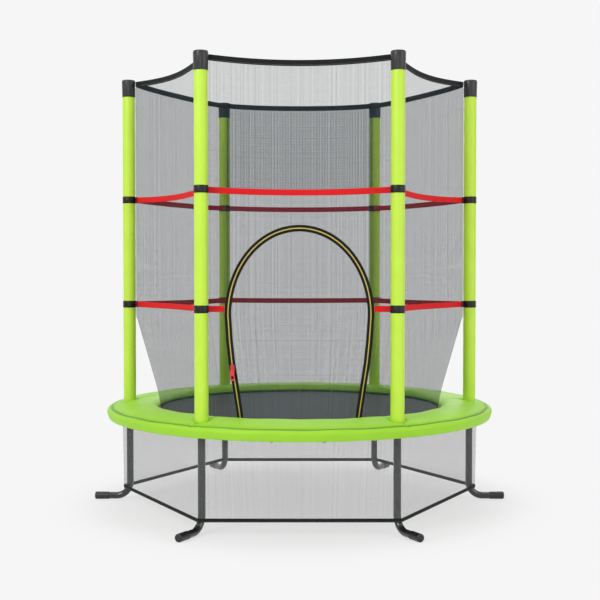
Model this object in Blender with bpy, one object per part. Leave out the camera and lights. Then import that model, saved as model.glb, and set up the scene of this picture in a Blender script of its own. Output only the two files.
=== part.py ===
"""A children's trampoline with a net enclosure, one named object for each piece.

Metres, +Z up. The floor is z = 0 and the middle of the round frame is the Z axis.
Six legs and six poles stand on one circle, every 60 degrees from +X. The doorway
of the net is in the side that faces -Y.
"""

import math

import bmesh
import bpy
import numpy as np
from mathutils import Matrix, Vector
from mathutils.geometry import delaunay_2d_cdt

# ---- driving dimensions ---------------------------------------------------------------

CORNERS = 6
SECTOR = math.tau / CORNERS
CORNER_NAMES = ("right", "back_right", "back_left", "left", "front_left", "front_right")
SIDE_NAMES = ("right_back", "back", "left_back", "left_front", "front", "right_front")
FRONT = SIDE_NAMES.index("front")

GAP = 0.0003  # between two pieces that touch

# steel tube
RING_R = 0.628  # legs, rail and poles stand on this radius
TUBE_R = 0.0125
BORE_R = 0.0113
TUBE_SIDES = 10
BORE_SIDES = 6
RAIL_Z = 0.3285
RAIL_STEPS = 6  # straight stretches in one rail tube
COLLAR_R = 0.0155  # at each post, round the rail's end
COLLAR_HALF = 0.0165
PLUG_REACH = 0.045  # how far a plug enters the next rail tube, and a stub the leg or pole
PLUG_WALL = 0.0013
PIPE_SIDES = 10

# legs and feet
FOOT_TIP_R = 0.758
FOOT_CAP_R = 0.0138
FOOT_CAP_LENGTH = 0.052
FOOT_CAP_WALL = 0.003
FOOT_NOSE = 0.005
FOOT_BEND_R = 0.050
FOOT_BEND_STEPS = 5

# poles, sleeves and caps
TOP_Z = 1.545
CAP_HEIGHT = 0.058
CAP_TOP_R = 0.0235
CAP_FOOT_R = 0.0218
CAP_RIM = ((0.0030, 0.0), (0.0006, 0.0022), (0.0, 0.0060))  # in from the shoulder, below the top
CAP_LIP = 0.0012
CAP_ROOF = 0.015
LUG_HALF_WIDTH = 0.006
LUG_HALF_HEIGHT = 0.007
SLEEVE_R = 0.0215
SLEEVE_FOOT_Z = 0.3603
SLEEVE_SIDES = 12

# net enclosure; a "flat" place on a side is (x along the side, z height)
NET_CORNER_R = 0.600
NET_BOW = 0.030  # how far the middle of a side lies inside its corners
NET_SAG = 0.014  # how far the top of a side hangs down in its middle
NET_FOOT_R = 0.507  # the net's round lower edge on the mat
KNEE_Z = 0.670  # below this the net narrows
NET_THICK = 0.0016
NET_SEAM = 0.0012
NET_COLUMNS = 4
NET_ROWS = (0.510, 0.670, 0.885, 1.106)  # at the knee, at the upper band and between
DOOR_ROWS = (0.510, 0.670, 0.830)
STRAND = 0.014
NET_EDGE = 0.018
HEM_Z = 1.530
HEM_HEIGHT = 0.020
HEM_THICK = 0.003

# webbing bands and their elastic loops
UPPER_BAND_Z = 1.106
LOWER_BAND_Z = 0.723
BAND_HEIGHT = 0.020
BAND_THICK = 0.002
LOOP_HEIGHT = 0.023
LOOP_THICK = 0.002
LOOP_SIDES = 12

# doorway and zip, in flat places
DOOR_FOOT_HALF = 0.2212
DOOR_LEAN_Z = 0.545  # the zip leans outwards up to here, then stands upright
LEAN_STEPS = 4
DOOR_HALF = 0.2315
DOOR_ARCH_Z = 0.700  # the arch's half ellipse starts here
DOOR_TOP_Z = 0.989
ARCH_STEPS = 12
SILL_CLEAR = 0.0015
HINGE_CLEAR = 0.0009  # the door's fold line, above the sill
ZIP_GAP = 0.0005
TAPE_HALF = 0.0108
TAPE_THICK = 0.002
TEETH_HALF = 0.0025
TEETH_HEIGHT = 0.0015
SLIDER_Z = 0.531
SLIDER_TRAVEL = 0.110  # straight down along the leaning stretch
SLIDER_HALF = 0.0068
SLIDER_LENGTH = 0.019
SLIDER_CLEAR = 0.0008  # round the teeth
SLIDER_LIFT = 0.0009  # off the tape, which twists along the travel
SLIDER_WALL = 0.0016
SLIDER_BEVEL = (0.0018, 0.0012)  # across and down
PIN_R = 0.0011
PIN_OUT = 0.0078  # the pull's pin, out from the middle of the tape
PIN_UP = 0.0035
PIN_SIDES = 8
EAR_INNER = 0.0032
EAR_OUTER = 0.0050
EAR_HALF = 0.0030  # along the zip
EAR_RISE = 0.0022  # out past the pin's axis
EAR_ROOT = 0.0008  # sunk into the slider
PULL_THICK = 0.0018
PULL_RIGHT = (  # half width and height from the pin: neck, shoulder and foot
    (0.0026, 0.0012),
    (0.0026, -0.0070),
    (0.0072, -0.0140),
    (0.0072, -0.0430),
    (0.0052, -0.0460),
)
WINDOW_HALF = 0.0040
WINDOW_LOW = -0.0400
WINDOW_TOP = -0.0300
DOOR_HEM = 0.012

# mat and its elastic cord
MAT_TOP = 0.3430
MAT_R = 0.537
MAT_THICK = 0.002
MAT_HEM_THICK = 0.0035
MAT_HEM_R = 0.510  # the doubled hem lies outside this radius
MAT_SEGMENTS = 36
EYELET_R = 0.0055
EYELET_SIDES = 6
EYELET_RING_R = 0.527
CORD_TURNS = 24
CORD_R = 0.003
CORD_ABOVE = 0.0005  # clear of the mat's top at an eyelet
CORD_BELOW = 0.0025  # clear of the hem's underside
CORD_WRAP_R = 0.0185
CORD_WRAP = (-90.0, -30.0, 30.0, 90.0)  # degrees round the rail, from its outside
CORD_WRAP_START = 0.450  # of the way to the next eyelet
CORD_WRAP_STEP = 0.033

# padded ring
PAD_UNDER = 0.3503
PAD_SECTOR_STATIONS = (0.0, 0.6, 10.0, 20.0, 30.0, 40.0, 50.0, 59.4)  # degrees from a seam
PAD_SEAM_DEPTH = 0.003
PAD_CUT = (0.330, 0.390)  # heights between which the posts' holes and seats are cut
PAD_HOLE_SPARE = 0.0005
PAD_PROFILE = (  # radius, height: from the inner foot over the crown to the valance
    (0.5215, PAD_UNDER),
    (0.5195, 0.3560),
    (0.5270, 0.3685),
    (0.5480, 0.3735),
    (0.5950, 0.3725),
    (0.6770, 0.3590),
    (0.6830, 0.3555),
    (0.6960, 0.3525),
    (0.7015, 0.3430),
    (0.6950, 0.3200),
    (0.6915, 0.3200),
    (0.6950, 0.3330),
    (0.6870, PAD_UNDER),
)
PAD_CROWN = range(2, 8)  # the profile points that a radial seam pulls down

# skirt
SKIRT_TOP_R = 0.656
SKIRT_CORNER_R = 0.651
SKIRT_HEM_Z = 0.048
SKIRT_HEM_HEIGHT = 0.0127
SKIRT_HEM_THICK = 0.002
SKIRT_SEAM = 0.0016

# ---- dimensions that follow from those --------------------------------------------------

PLUG_R = BORE_R - GAP
LEG_TOP = RAIL_Z - COLLAR_HALF - GAP
POLE_FOOT = RAIL_Z + COLLAR_HALF + GAP
FOOT_Z = FOOT_CAP_R * math.cos(math.pi / TUBE_SIDES)  # a cap stands on one flat facet
NET_APOTHEM = NET_CORNER_R * math.cos(SECTOR / 2)
NET_HALF = NET_CORNER_R * math.sin(SECTOR / 2)
NET_CORNER_TILT = math.atan(2 * NET_BOW / NET_HALF)  # the bow turns each side by this at a corner
NET_LOW = MAT_TOP + GAP
NET_TOP = HEM_Z - HEM_HEIGHT / 2 - GAP
SILL_TOP = NET_LOW + NET_EDGE
DOOR_LOW = SILL_TOP + SILL_CLEAR
SKIRT_APOTHEM = SKIRT_CORNER_R * math.cos(SECTOR / 2)
SKIRT_HALF = SKIRT_CORNER_R * math.sin(SECTOR / 2)
SKIRT_TOP = PAD_UNDER - GAP
SKIRT_LOW = SKIRT_HEM_Z + SKIRT_HEM_HEIGHT / 2 + GAP


# ---- finishes ---------------------------------------------------------------------------


def finish(name, colour, roughness, metallic=0.0):
    """A Principled BSDF with one colour (linear RGB), roughness and metallic value."""
    material = bpy.data.materials.new(name)
    material.use_nodes = True
    shader = material.node_tree.nodes["Principled BSDF"]
    shader.inputs["Base Color"].default_value = (*colour, 1.0)
    shader.inputs["Roughness"].default_value = roughness
    shader.inputs["Metallic"].default_value = metallic
    material.diffuse_color = (*colour, 1.0)
    return material


def make_finishes():
    """Every material of the object, under a short key."""
    return {
        "steel": finish("zinc_steel", (0.55, 0.56, 0.57), 0.35, 1.0),
        "leg": finish("black_enamel", (0.012, 0.012, 0.013), 0.25),
        "rubber": finish("black_rubber", (0.015, 0.015, 0.016), 0.7),
        "foam": finish("lime_foam", (0.52, 0.78, 0.09), 0.6),
        "cap": finish("grey_plastic", (0.07, 0.07, 0.075), 0.45),
        "net": finish("grey_net", (0.42, 0.44, 0.46), 0.8),
        "tape": finish("black_tape", (0.01, 0.012, 0.008), 0.8),
        "band": finish("red_webbing", (0.72, 0.02, 0.02), 0.6),
        "zip_pull": finish("red_enamel", (0.65, 0.02, 0.02), 0.3),
        "pad": finish("green_vinyl", (0.33, 0.68, 0.08), 0.4),
        "mat": finish("grey_mat", (0.1, 0.11, 0.12), 0.85),
        "cord": finish("white_cord", (0.6, 0.6, 0.58), 0.8),
        "skirt": finish("pale_net", (0.55, 0.56, 0.58), 0.8),
    }


# ---- helpers ----------------------------------------------------------------------------


def add_object(name, mesh, material, matrix=None, smooth_degrees=35.0):
    """Link a mesh as a named object. A shared mesh keeps its first material."""
    obj = bpy.data.objects.new(name, mesh)
    bpy.context.collection.objects.link(obj)
    if not mesh.materials:
        mesh.materials.append(material)
        mesh.shade_smooth()
        mesh.set_sharp_from_angle(angle=math.radians(smooth_degrees))
    if matrix is not None:
        obj.matrix_world = matrix
    return obj


def mesh_of(bm, name):
    """Close a bmesh into a mesh with its faces pointing out."""
    bmesh.ops.recalc_face_normals(bm, faces=bm.faces)
    mesh = bpy.data.meshes.new(name)
    bm.to_mesh(mesh)
    bm.free()
    return mesh


def turned(profile, sides, phase=0.0):
    """Turn a closed (radius, height) outline about Z. Points on the axis become one vertex."""
    bm = bmesh.new()
    start = Vector((math.cos(phase), math.sin(phase), 0.0))
    ring = [bm.verts.new(start * radius + Vector((0.0, 0.0, z))) for radius, z in profile]
    edges = [
        bm.edges.new((a, b))
        for a, b in zip(ring, ring[1:] + ring[:1])
        if not (a.co.xy.length < GAP and b.co.xy.length < GAP)
    ]
    bmesh.ops.spin(
        bm,
        geom=ring + edges,
        cent=(0.0, 0.0, 0.0),
        axis=(0.0, 0.0, 1.0),
        angle=math.tau,
        steps=sides,
        use_merge=True,
    )
    bmesh.ops.remove_doubles(bm, verts=bm.verts, dist=GAP / 10)
    return bm


def tube_ring(bm, centre, tangent_in, tangent_out, binormal, radius, sides):
    """One mitred ring of a tube that bends in the plane square to binormal."""
    tangent = (tangent_in + tangent_out).normalized()
    normal = binormal.cross(tangent)
    stretch = 1.0 / max(tangent.dot(tangent_out), 0.1)
    half = math.pi / sides
    ring = []
    for i in range(sides):
        turn = math.tau * i / sides + half
        across = normal * (radius * math.cos(turn) * stretch)
        ring.append(bm.verts.new(centre + across + binormal * (radius * math.sin(turn))))
    return ring


def close_annulus(bm, outer, inner):
    """Triangles between two rings that go round alike, but may differ in their counts."""
    i = j = 0
    while i < len(outer) or j < len(inner):
        a, b = outer[i % len(outer)], inner[j % len(inner)]
        if (i + 0.5) / len(outer) <= (j + 0.5) / len(inner):
            i += 1
            bm.faces.new((a, outer[i % len(outer)], b))
        else:
            j += 1
            bm.faces.new((a, inner[j % len(inner)], b))


def tube(path, binormal, outer_r, inner_r=None, sides=TUBE_SIDES, inner_sides=None):
    """A tube along a flat path: open right through with an inner radius, solid without one."""
    bm = bmesh.new()
    points = [Vector(p) for p in path]
    steps = [(b - a).normalized() for a, b in zip(points, points[1:])]
    tangents = list(zip([steps[0]] + steps, steps + [steps[-1]]))
    walls = []
    for radius, count in ((outer_r, sides), (inner_r, inner_sides or sides)):
        if radius is None:
            continue
        rings = [
            tube_ring(bm, p, t_in, t_out, Vector(binormal), radius, count)
            for p, (t_in, t_out) in zip(points, tangents)
        ]
        for low, high in zip(rings, rings[1:]):
            for i in range(count):
                j = (i + 1) % count
                bm.faces.new((low[i], low[j], high[j], high[i]))
        walls.append((rings[0], rings[-1]))
    for end in (0, 1):
        if inner_r is None:
            bm.faces.new(walls[0][end])
        else:
            close_annulus(bm, walls[0][end], walls[1][end])
    return bm


def box(low, high):
    """A plain block between two corners."""
    bm = bmesh.new()
    size = Vector(high) - Vector(low)
    middle = (Vector(high) + Vector(low)) / 2
    place = Matrix.Translation(middle) @ Matrix.Diagonal((*size, 1.0))
    bmesh.ops.create_cube(bm, size=1.0, matrix=place)
    return bm


def combined(name, base, joined=(), cut=()):
    """Union and difference of closed bmeshes, worked out by Boolean modifiers."""
    obj = bpy.data.objects.new(name, mesh_of(base, name))
    bpy.context.collection.objects.link(obj)
    helpers = []
    for operation, solids in (("UNION", joined), ("DIFFERENCE", cut)):
        for solid in solids:
            helper = bpy.data.objects.new("helper", mesh_of(solid, "helper"))
            bpy.context.collection.objects.link(helper)
            boolean = obj.modifiers.new(operation, "BOOLEAN")
            boolean.operation = operation
            boolean.solver = "EXACT"
            boolean.object = helper
            helpers.append(helper)
    depsgraph = bpy.context.evaluated_depsgraph_get()
    mesh = bpy.data.meshes.new_from_object(obj.evaluated_get(depsgraph))
    mesh.name = name
    for spare in [obj, *helpers]:
        bpy.data.objects.remove(spare)
    return mesh


def clear_radius(radius, sides):
    """Circumradius of a faceted bore whose facets clear a shaft of this radius."""
    return (radius + GAP) / math.cos(math.pi / sides)


def corner_matrix(index):
    """Turns a piece drawn at the +X corner to its own corner."""
    return Matrix.Rotation(SECTOR * index, 4, "Z")


def side_matrix(index):
    """Turns a side drawn facing +X, with its length along +Y, to where it stands."""
    return Matrix.Rotation(SECTOR * (index + 0.5), 4, "Z")


def at_post(bm, index=0):
    """Move a bmesh drawn round the Z axis to a corner's post."""
    place = corner_matrix(index) @ Matrix.Translation((RING_R, 0.0, 0.0))
    bmesh.ops.transform(bm, matrix=place, verts=bm.verts)
    return bm


def at_each_corner(prefix, mesh, material):
    """Six objects that share a mesh drawn at the +X corner."""
    for index, corner in enumerate(CORNER_NAMES):
        add_object(f"{prefix}_{corner}", mesh, material, corner_matrix(index))


# ---- steel: rail, legs, poles -----------------------------------------------------------


def ring_point(step, radius=RING_R, z=RAIL_Z):
    """A point on the rail's middle line, step straight stretches on from the +X corner."""
    angle = SECTOR * step / RAIL_STEPS
    return Vector((radius * math.cos(angle), radius * math.sin(angle), z))


def make_rail_tubes(finishes):
    """A bent tube welded to a collar, with a plug for the tube before it.

    The collar has a stub down into the leg and one up into the pole.
    """
    path = [ring_point(step) for step in range(RAIL_STEPS + 1)]
    last = (path[-1] - path[-2]).normalized()
    path[-1] = path[-1] - last * (COLLAR_R + GAP)
    back = (ring_point(-1) - path[0]).normalized()
    plug_end = path[0] + back * (COLLAR_R + PLUG_REACH)
    up = (0.0, 0.0, 1.0)
    rail = tube(path, up, TUBE_R, BORE_R, TUBE_SIDES, BORE_SIDES)
    plug = tube([path[0], plug_end], up, PLUG_R, PLUG_R - PLUG_WALL, BORE_SIDES)
    reach = COLLAR_HALF + PLUG_REACH
    ends = ((RING_R, 0.0, RAIL_Z - reach), (RING_R, 0.0, RAIL_Z + reach))
    stubs = tube(ends, (0.0, 1.0, 0.0), PLUG_R, PLUG_R - PLUG_WALL, BORE_SIDES)
    low, high = RAIL_Z - COLLAR_HALF, RAIL_Z + COLLAR_HALF
    collar = at_post(turned(((0.0, low), (COLLAR_R, low), (COLLAR_R, high), (0.0, high)), PIPE_SIDES))
    mesh = combined("rail_tube", collar, joined=(rail, plug, stubs))
    at_each_corner("rail_tube", mesh, finishes["steel"])


def make_legs(finishes):
    """A tube that hangs from the rail's collar, round its stub, and bends outwards into a foot."""
    centre = Vector((RING_R + FOOT_BEND_R, 0.0, FOOT_Z + FOOT_BEND_R))
    path = [Vector((RING_R, 0.0, LEG_TOP))]
    for step in range(FOOT_BEND_STEPS + 1):
        turn = math.pi / 2 * step / FOOT_BEND_STEPS
        path.append(centre - Vector((math.cos(turn), 0.0, math.sin(turn))) * FOOT_BEND_R)
    path.append(Vector((FOOT_TIP_R - FOOT_CAP_WALL - GAP, 0.0, FOOT_Z)))
    leg = tube(path, (0.0, 1.0, 0.0), TUBE_R, BORE_R, TUBE_SIDES, BORE_SIDES)
    at_each_corner("leg", mesh_of(leg, "leg"), finishes["leg"])


def make_foot_caps(finishes):
    """A rubber cup over the end of the foot, with a rounded nose and a flat facet below."""
    bore = TUBE_R + GAP
    profile = (
        (0.0, FOOT_CAP_LENGTH),
        (FOOT_CAP_R - FOOT_NOSE, FOOT_CAP_LENGTH),
        (FOOT_CAP_R - FOOT_NOSE * 0.3, FOOT_CAP_LENGTH - FOOT_NOSE * 0.3),
        (FOOT_CAP_R, FOOT_CAP_LENGTH - FOOT_NOSE),
        (FOOT_CAP_R, 0.0),
        (bore, 0.0),
        (bore, FOOT_CAP_LENGTH - FOOT_CAP_WALL),
        (0.0, FOOT_CAP_LENGTH - FOOT_CAP_WALL),
    )
    cap = turned(profile, TUBE_SIDES, math.pi / TUBE_SIDES)
    lie_down = Matrix.Rotation(math.pi / 2, 4, "Y")
    to_tip = Matrix.Translation((FOOT_TIP_R - FOOT_CAP_LENGTH, 0.0, FOOT_Z))
    bmesh.ops.transform(cap, matrix=to_tip @ lie_down, verts=cap.verts)
    at_each_corner("foot_cap", mesh_of(cap, "foot_cap"), finishes["rubber"])


def make_poles(finishes):
    """A straight tube that stands on the rail's collar, round its stub."""
    path = ((RING_R, 0.0, POLE_FOOT), (RING_R, 0.0, TOP_Z - CAP_ROOF))
    pole = tube(path, (0.0, 1.0, 0.0), TUBE_R, BORE_R, TUBE_SIDES, BORE_SIDES)
    at_each_corner("pole", mesh_of(pole, "pole"), finishes["steel"])


def make_foam_sleeves(finishes):
    """A foam tube from its seat in the pad up to the cap."""
    bore = clear_radius(TUBE_R, SLEEVE_SIDES)
    top = TOP_Z - CAP_HEIGHT - GAP
    profile = ((bore, SLEEVE_FOOT_Z), (SLEEVE_R, SLEEVE_FOOT_Z), (SLEEVE_R, top), (bore, top))
    sleeve = at_post(turned(profile, SLEEVE_SIDES))
    at_each_corner("foam_sleeve", mesh_of(sleeve, "foam_sleeve"), finishes["foam"])


def make_pole_caps(finishes):
    """A plastic cap that widens upwards to a rounded rim, with a lug that holds the net's hem."""
    bore = clear_radius(TUBE_R, SLEEVE_SIDES)
    foot = TOP_Z - CAP_HEIGHT
    ceiling = TOP_Z - CAP_ROOF + GAP
    profile = (
        (0.0, TOP_Z),
        *((CAP_TOP_R - inset, TOP_Z - depth) for inset, depth in CAP_RIM),
        (CAP_FOOT_R, foot + CAP_LIP),
        (CAP_FOOT_R - CAP_LIP, foot),
        (bore, foot),
        (bore, ceiling),
        (0.0, ceiling),
    )
    cap = at_post(turned(profile, SLEEVE_SIDES))
    hem_corner = NET_CORNER_R + HEM_THICK / 2 / math.cos(SECTOR / 2 + NET_CORNER_TILT)
    lug = box(
        (hem_corner + GAP, -LUG_HALF_WIDTH, HEM_Z - LUG_HALF_HEIGHT),
        (RING_R - CAP_FOOT_R * 0.8, LUG_HALF_WIDTH, HEM_Z + LUG_HALF_HEIGHT),
    )
    at_each_corner("pole_cap", combined("pole_cap", cap, joined=(lug,)), finishes["cap"])


# ---- cloth: where a flat place on a side of the net lies ----------------------------------


def net_place(x, z):
    """A flat place on a side, as a point on a side that faces +X.

    Above the knee the side bows inwards and hangs down a little in its middle. Below
    it the side narrows in straight lines to an arc of the round foot.
    """
    u = x / NET_HALF
    bulge = 1.0 - u * u
    upper = Vector((NET_APOTHEM - NET_BOW * bulge, x))
    if z >= KNEE_Z:
        rise = (z - KNEE_Z) / (HEM_Z - KNEE_Z)
        return Vector((*upper, z - NET_SAG * bulge * rise))
    angle = SECTOR / 2 * u
    foot = Vector((NET_FOOT_R * math.cos(angle), NET_FOOT_R * math.sin(angle)))
    drop = (KNEE_Z - z) / (KNEE_Z - MAT_TOP)
    return Vector((*upper.lerp(foot, drop), z))


def net_normal(x, z):
    """The outward normal of a side at a flat place, from two short steps."""
    step = 0.001
    along = net_place(x + step, z) - net_place(x - step, z)
    above = net_place(x, z + step) - net_place(x, z - step)
    return along.cross(above).normalized()


def skirt_place(x, z):
    """As net_place, for the skirt: straight between the legs below, round above."""
    u = x / SKIRT_HALF
    angle = SECTOR / 2 * u
    top = Vector((SKIRT_TOP_R * math.cos(angle), SKIRT_TOP_R * math.sin(angle)))
    rise = (z - SKIRT_HEM_Z) / (SKIRT_TOP - SKIRT_HEM_Z)
    return Vector((*Vector((SKIRT_APOTHEM, x)).lerp(top, rise), z))


def strand_spans(low, high, middles, edge):
    """(from, to) of each strand across a span: an edge at both ends and the middles."""
    inner = [(m - STRAND / 2, m + STRAND / 2) for m in middles]
    return [(low, low + edge), *inner, (high - edge, high)]


def in_span(value, spans):
    """Whether a number lies inside one of the spans."""
    return any(low < value < high for low, high in spans)


def inside(place, outline):
    """Whether a flat place lies inside a closed outline, by counting crossings."""
    x, z = place
    crossings = 0
    for (ax, az), (bx, bz) in zip(outline, outline[1:] + outline[:1]):
        if (az > z) != (bz > z) and x < ax + (z - az) / (bz - az) * (bx - ax):
            crossings += 1
    return crossings % 2 == 1


def lattice(name, columns, rows, place, outlines=(), keep=None):
    """An open net as one sheet: strands up and across, cut to outlines, then given its place.

    columns and rows are the strands' spans. keep(x, z, on_strand) says whether a flat
    place holds net; without it the strands do.
    """
    left, right = columns[0][0], columns[-1][1]
    low, high = rows[0][0], rows[-1][1]
    points = []
    edges = []

    def add_line(places, closed=False):
        first = len(points)
        points.extend(Vector(p) for p in places)
        last = len(points) - 1
        edges.extend((i, i + 1) for i in range(first, last))
        if closed:
            edges.append((last, first))

    for x in {value for span in columns for value in span}:
        add_line(((x, low), (x, high)))
    for z in {value for span in rows for value in span}:
        add_line(((left, z), (right, z)))
    for outline in outlines:
        add_line(outline, closed=True)
    flat, _, faces, *_ = delaunay_2d_cdt(points, edges, [], 0, GAP / 10)
    bm = bmesh.new()
    verts = [bm.verts.new(place(*p)) for p in flat]
    for face in faces:
        x, z = sum((flat[i] for i in face), Vector((0.0, 0.0))) / len(face)
        on_strand = in_span(x, columns) or in_span(z, rows)
        if keep(x, z, on_strand) if keep else on_strand:
            bm.faces.new([verts[i] for i in face])
    bmesh.ops.delete(bm, geom=[v for v in bm.verts if not v.link_faces], context="VERTS")
    return mesh_of(bm, name)


def thicken(obj, thickness):
    """Give a sheet its thickness, half to each side."""
    solidify = obj.modifiers.new("thickness", "SOLIDIFY")
    solidify.thickness = thickness
    solidify.offset = 0.0
    return obj


# ---- the doorway's outline -----------------------------------------------------------------


def zip_line():
    """The zip's middle line as (flat place, outward normal in the sheet), left foot to right."""
    foot, lean = Vector((DOOR_FOOT_HALF, DOOR_LOW)), Vector((DOOR_HALF, DOOR_LEAN_Z))
    right = [tuple(foot.lerp(lean, step / LEAN_STEPS)) for step in range(LEAN_STEPS + 1)]
    right.append((DOOR_HALF, KNEE_Z))
    for step in range(ARCH_STEPS // 2 + 1):
        turn = math.pi / ARCH_STEPS * step
        height = DOOR_TOP_Z - DOOR_ARCH_Z
        right.append((DOOR_HALF * math.cos(turn), DOOR_ARCH_Z + height * math.sin(turn)))
    places = [Vector((-x, z)) for x, z in right[:-1]] + [Vector(p) for p in reversed(right)]
    steps = [(b - a).normalized() for a, b in zip(places, places[1:])]
    line = []
    for place, before, after in zip(places, [steps[0]] + steps, steps + [steps[-1]]):
        tangent = (before + after).normalized()
        normal = Vector((-tangent.y, tangent.x)) / max(tangent.dot(after), 0.1)
        line.append((place, normal))
    return line


def zip_outline(offset, foot):
    """The doorway's outline at a distance outside the zip line, closed along a level foot."""
    outline = [place + normal * offset for place, normal in zip_line()]
    for end, inner in ((0, 1), (-1, -2)):
        slope = outline[inner] - outline[end]
        outline[end] = outline[end] + slope * ((foot - outline[end].y) / slope.y)
    return outline


def net_rows():
    """The heights that the net's level strands cover."""
    return strand_spans(NET_LOW, NET_TOP, NET_ROWS, NET_EDGE)


def net_columns():
    """The places along a side that the net's upright strands cover."""
    half = NET_HALF - NET_SEAM
    middles = [NET_HALF * (2.0 * i / NET_COLUMNS - 1.0) for i in range(1, NET_COLUMNS)]
    return strand_spans(-half, half, middles, STRAND)


def make_net_panels(finishes):
    """Six panels of open net; the front one is cut out for the doorway, with a bound edge."""
    plain = lattice("net_panel", net_columns(), net_rows(), net_place)
    doorway = zip_outline(TAPE_HALF + ZIP_GAP, SILL_TOP)
    binding = zip_outline(TAPE_HALF + ZIP_GAP + DOOR_HEM, SILL_TOP)

    def beside_doorway(x, z, on_strand):
        if inside((x, z), doorway):
            return False
        return on_strand or inside((x, z), binding)

    front = lattice(
        "net_panel_front", net_columns(), net_rows(), net_place, (doorway, binding), beside_doorway
    )
    for index, side in enumerate(SIDE_NAMES):
        mesh = front if index == FRONT else plain
        panel = add_object(f"net_panel_{side}", mesh, finishes["net"], side_matrix(index))
        thicken(panel, NET_THICK)


def hinge_place():
    """The fold line of the door, in the frame of a side that faces +X."""
    place = net_place(0.0, SILL_TOP + HINGE_CLEAR)
    return Vector((place.x, 0.0, place.z))


def make_door_panel(finishes):
    """The flap inside the zip, with a bound edge. Its origin is on the fold line at its foot."""
    edge = zip_outline(-TAPE_HALF - ZIP_GAP, DOOR_LOW)
    hem = zip_outline(-TAPE_HALF - ZIP_GAP - DOOR_HEM, DOOR_LOW + DOOR_HEM)
    columns = strand_spans(-DOOR_HALF, DOOR_HALF, (0.0,), STRAND)
    rows = strand_spans(DOOR_LOW, DOOR_TOP_Z, DOOR_ROWS, DOOR_HEM)

    def within_edge(x, z, on_strand):
        if not inside((x, z), edge):
            return False
        return not inside((x, z), hem) or on_strand

    hinge = hinge_place()
    mesh = lattice(
        "door_panel", columns, rows, lambda x, z: net_place(x, z) - hinge, (edge, hem), within_edge
    )
    matrix = side_matrix(FRONT) @ Matrix.Translation(hinge)
    thicken(add_object("door_panel", mesh, finishes["net"], matrix), NET_THICK)


def ribbon(sections):
    """A closed band through cross-sections of equal length; open ends are capped."""
    bm = bmesh.new()
    rings = [[bm.verts.new(p) for p in section] for section in sections]
    count = len(rings[0])
    for low, high in zip(rings, rings[1:]):
        for i in range(count):
            j = (i + 1) % count
            bm.faces.new((low[i], low[j], high[j], high[i]))
    return bm, rings


def capped(bm, rings):
    """Close a ribbon's two ends."""
    bm.faces.new(rings[0])
    bm.faces.new(rings[-1])
    return bm


def joined_round(bm, rings):
    """Join a ribbon's end to its start."""
    count = len(rings[0])
    for i in range(count):
        j = (i + 1) % count
        bm.faces.new((rings[-1][i], rings[-1][j], rings[0][j], rings[0][i]))
    return bm


def make_zip_tape(finishes):
    """Black tape in the sheet of the net, with the closed teeth as a low rib on its outside."""
    back = -TAPE_THICK / 2
    face = TAPE_THICK / 2
    outline = (
        (-TAPE_HALF, back),
        (TAPE_HALF, back),
        (TAPE_HALF, face),
        (TEETH_HALF, face),
        (TEETH_HALF, face + TEETH_HEIGHT),
        (-TEETH_HALF, face + TEETH_HEIGHT),
        (-TEETH_HALF, face),
        (-TAPE_HALF, face),
    )
    sections = []
    for place, across in zip_line():
        normal = net_normal(place.x, place.y)
        section = []
        for offset, proud in outline:
            spot = place + across * offset
            section.append(net_place(spot.x, max(spot.y, SILL_TOP + GAP)) + normal * proud)
        sections.append(section)
    mesh = mesh_of(capped(*ribbon(sections)), "zip_tape")
    add_object("zip_tape", mesh, finishes["tape"], side_matrix(FRONT))


def zip_station(z):
    """The zip's place and the net's outward normal at a height on its left flank."""
    foot, lean = Vector((-DOOR_FOOT_HALF, DOOR_LOW)), Vector((-DOOR_HALF, DOOR_LEAN_Z))
    place = foot.lerp(lean, (z - DOOR_LOW) / (DOOR_LEAN_Z - DOOR_LOW))
    return net_place(*place), net_normal(*place)


def zip_frame():
    """Axes at the slider: across the zip, up along its travel and out of the net, in the world.

    Out is midway between the net's normals at the two ends of the travel.
    """
    place, upper_normal = zip_station(SLIDER_Z)
    lowest, lower_normal = zip_station(SLIDER_Z - SLIDER_TRAVEL)
    up = (place - lowest).normalized()
    normal = upper_normal + lower_normal
    out = (normal - up * normal.dot(up)).normalized()
    across = up.cross(out)
    local = Matrix((across, up, out)).transposed().to_4x4()
    local.translation = place
    return side_matrix(FRONT) @ local


def round_bar(half_length, radius):
    """A round bar along X, for the pin or for the hole that it turns in."""
    path = ((-half_length, 0.0, 0.0), (half_length, 0.0, 0.0))
    return tube(path, (0.0, 0.0, 1.0), radius, sides=PIN_SIDES)


def extruded(outline, low, high):
    """Push a closed (x, z) outline along Y from low to high."""
    sections = [[Vector((x, y, z)) for x, z in outline] for y in (low, high)]
    return capped(*ribbon(sections))


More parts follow.
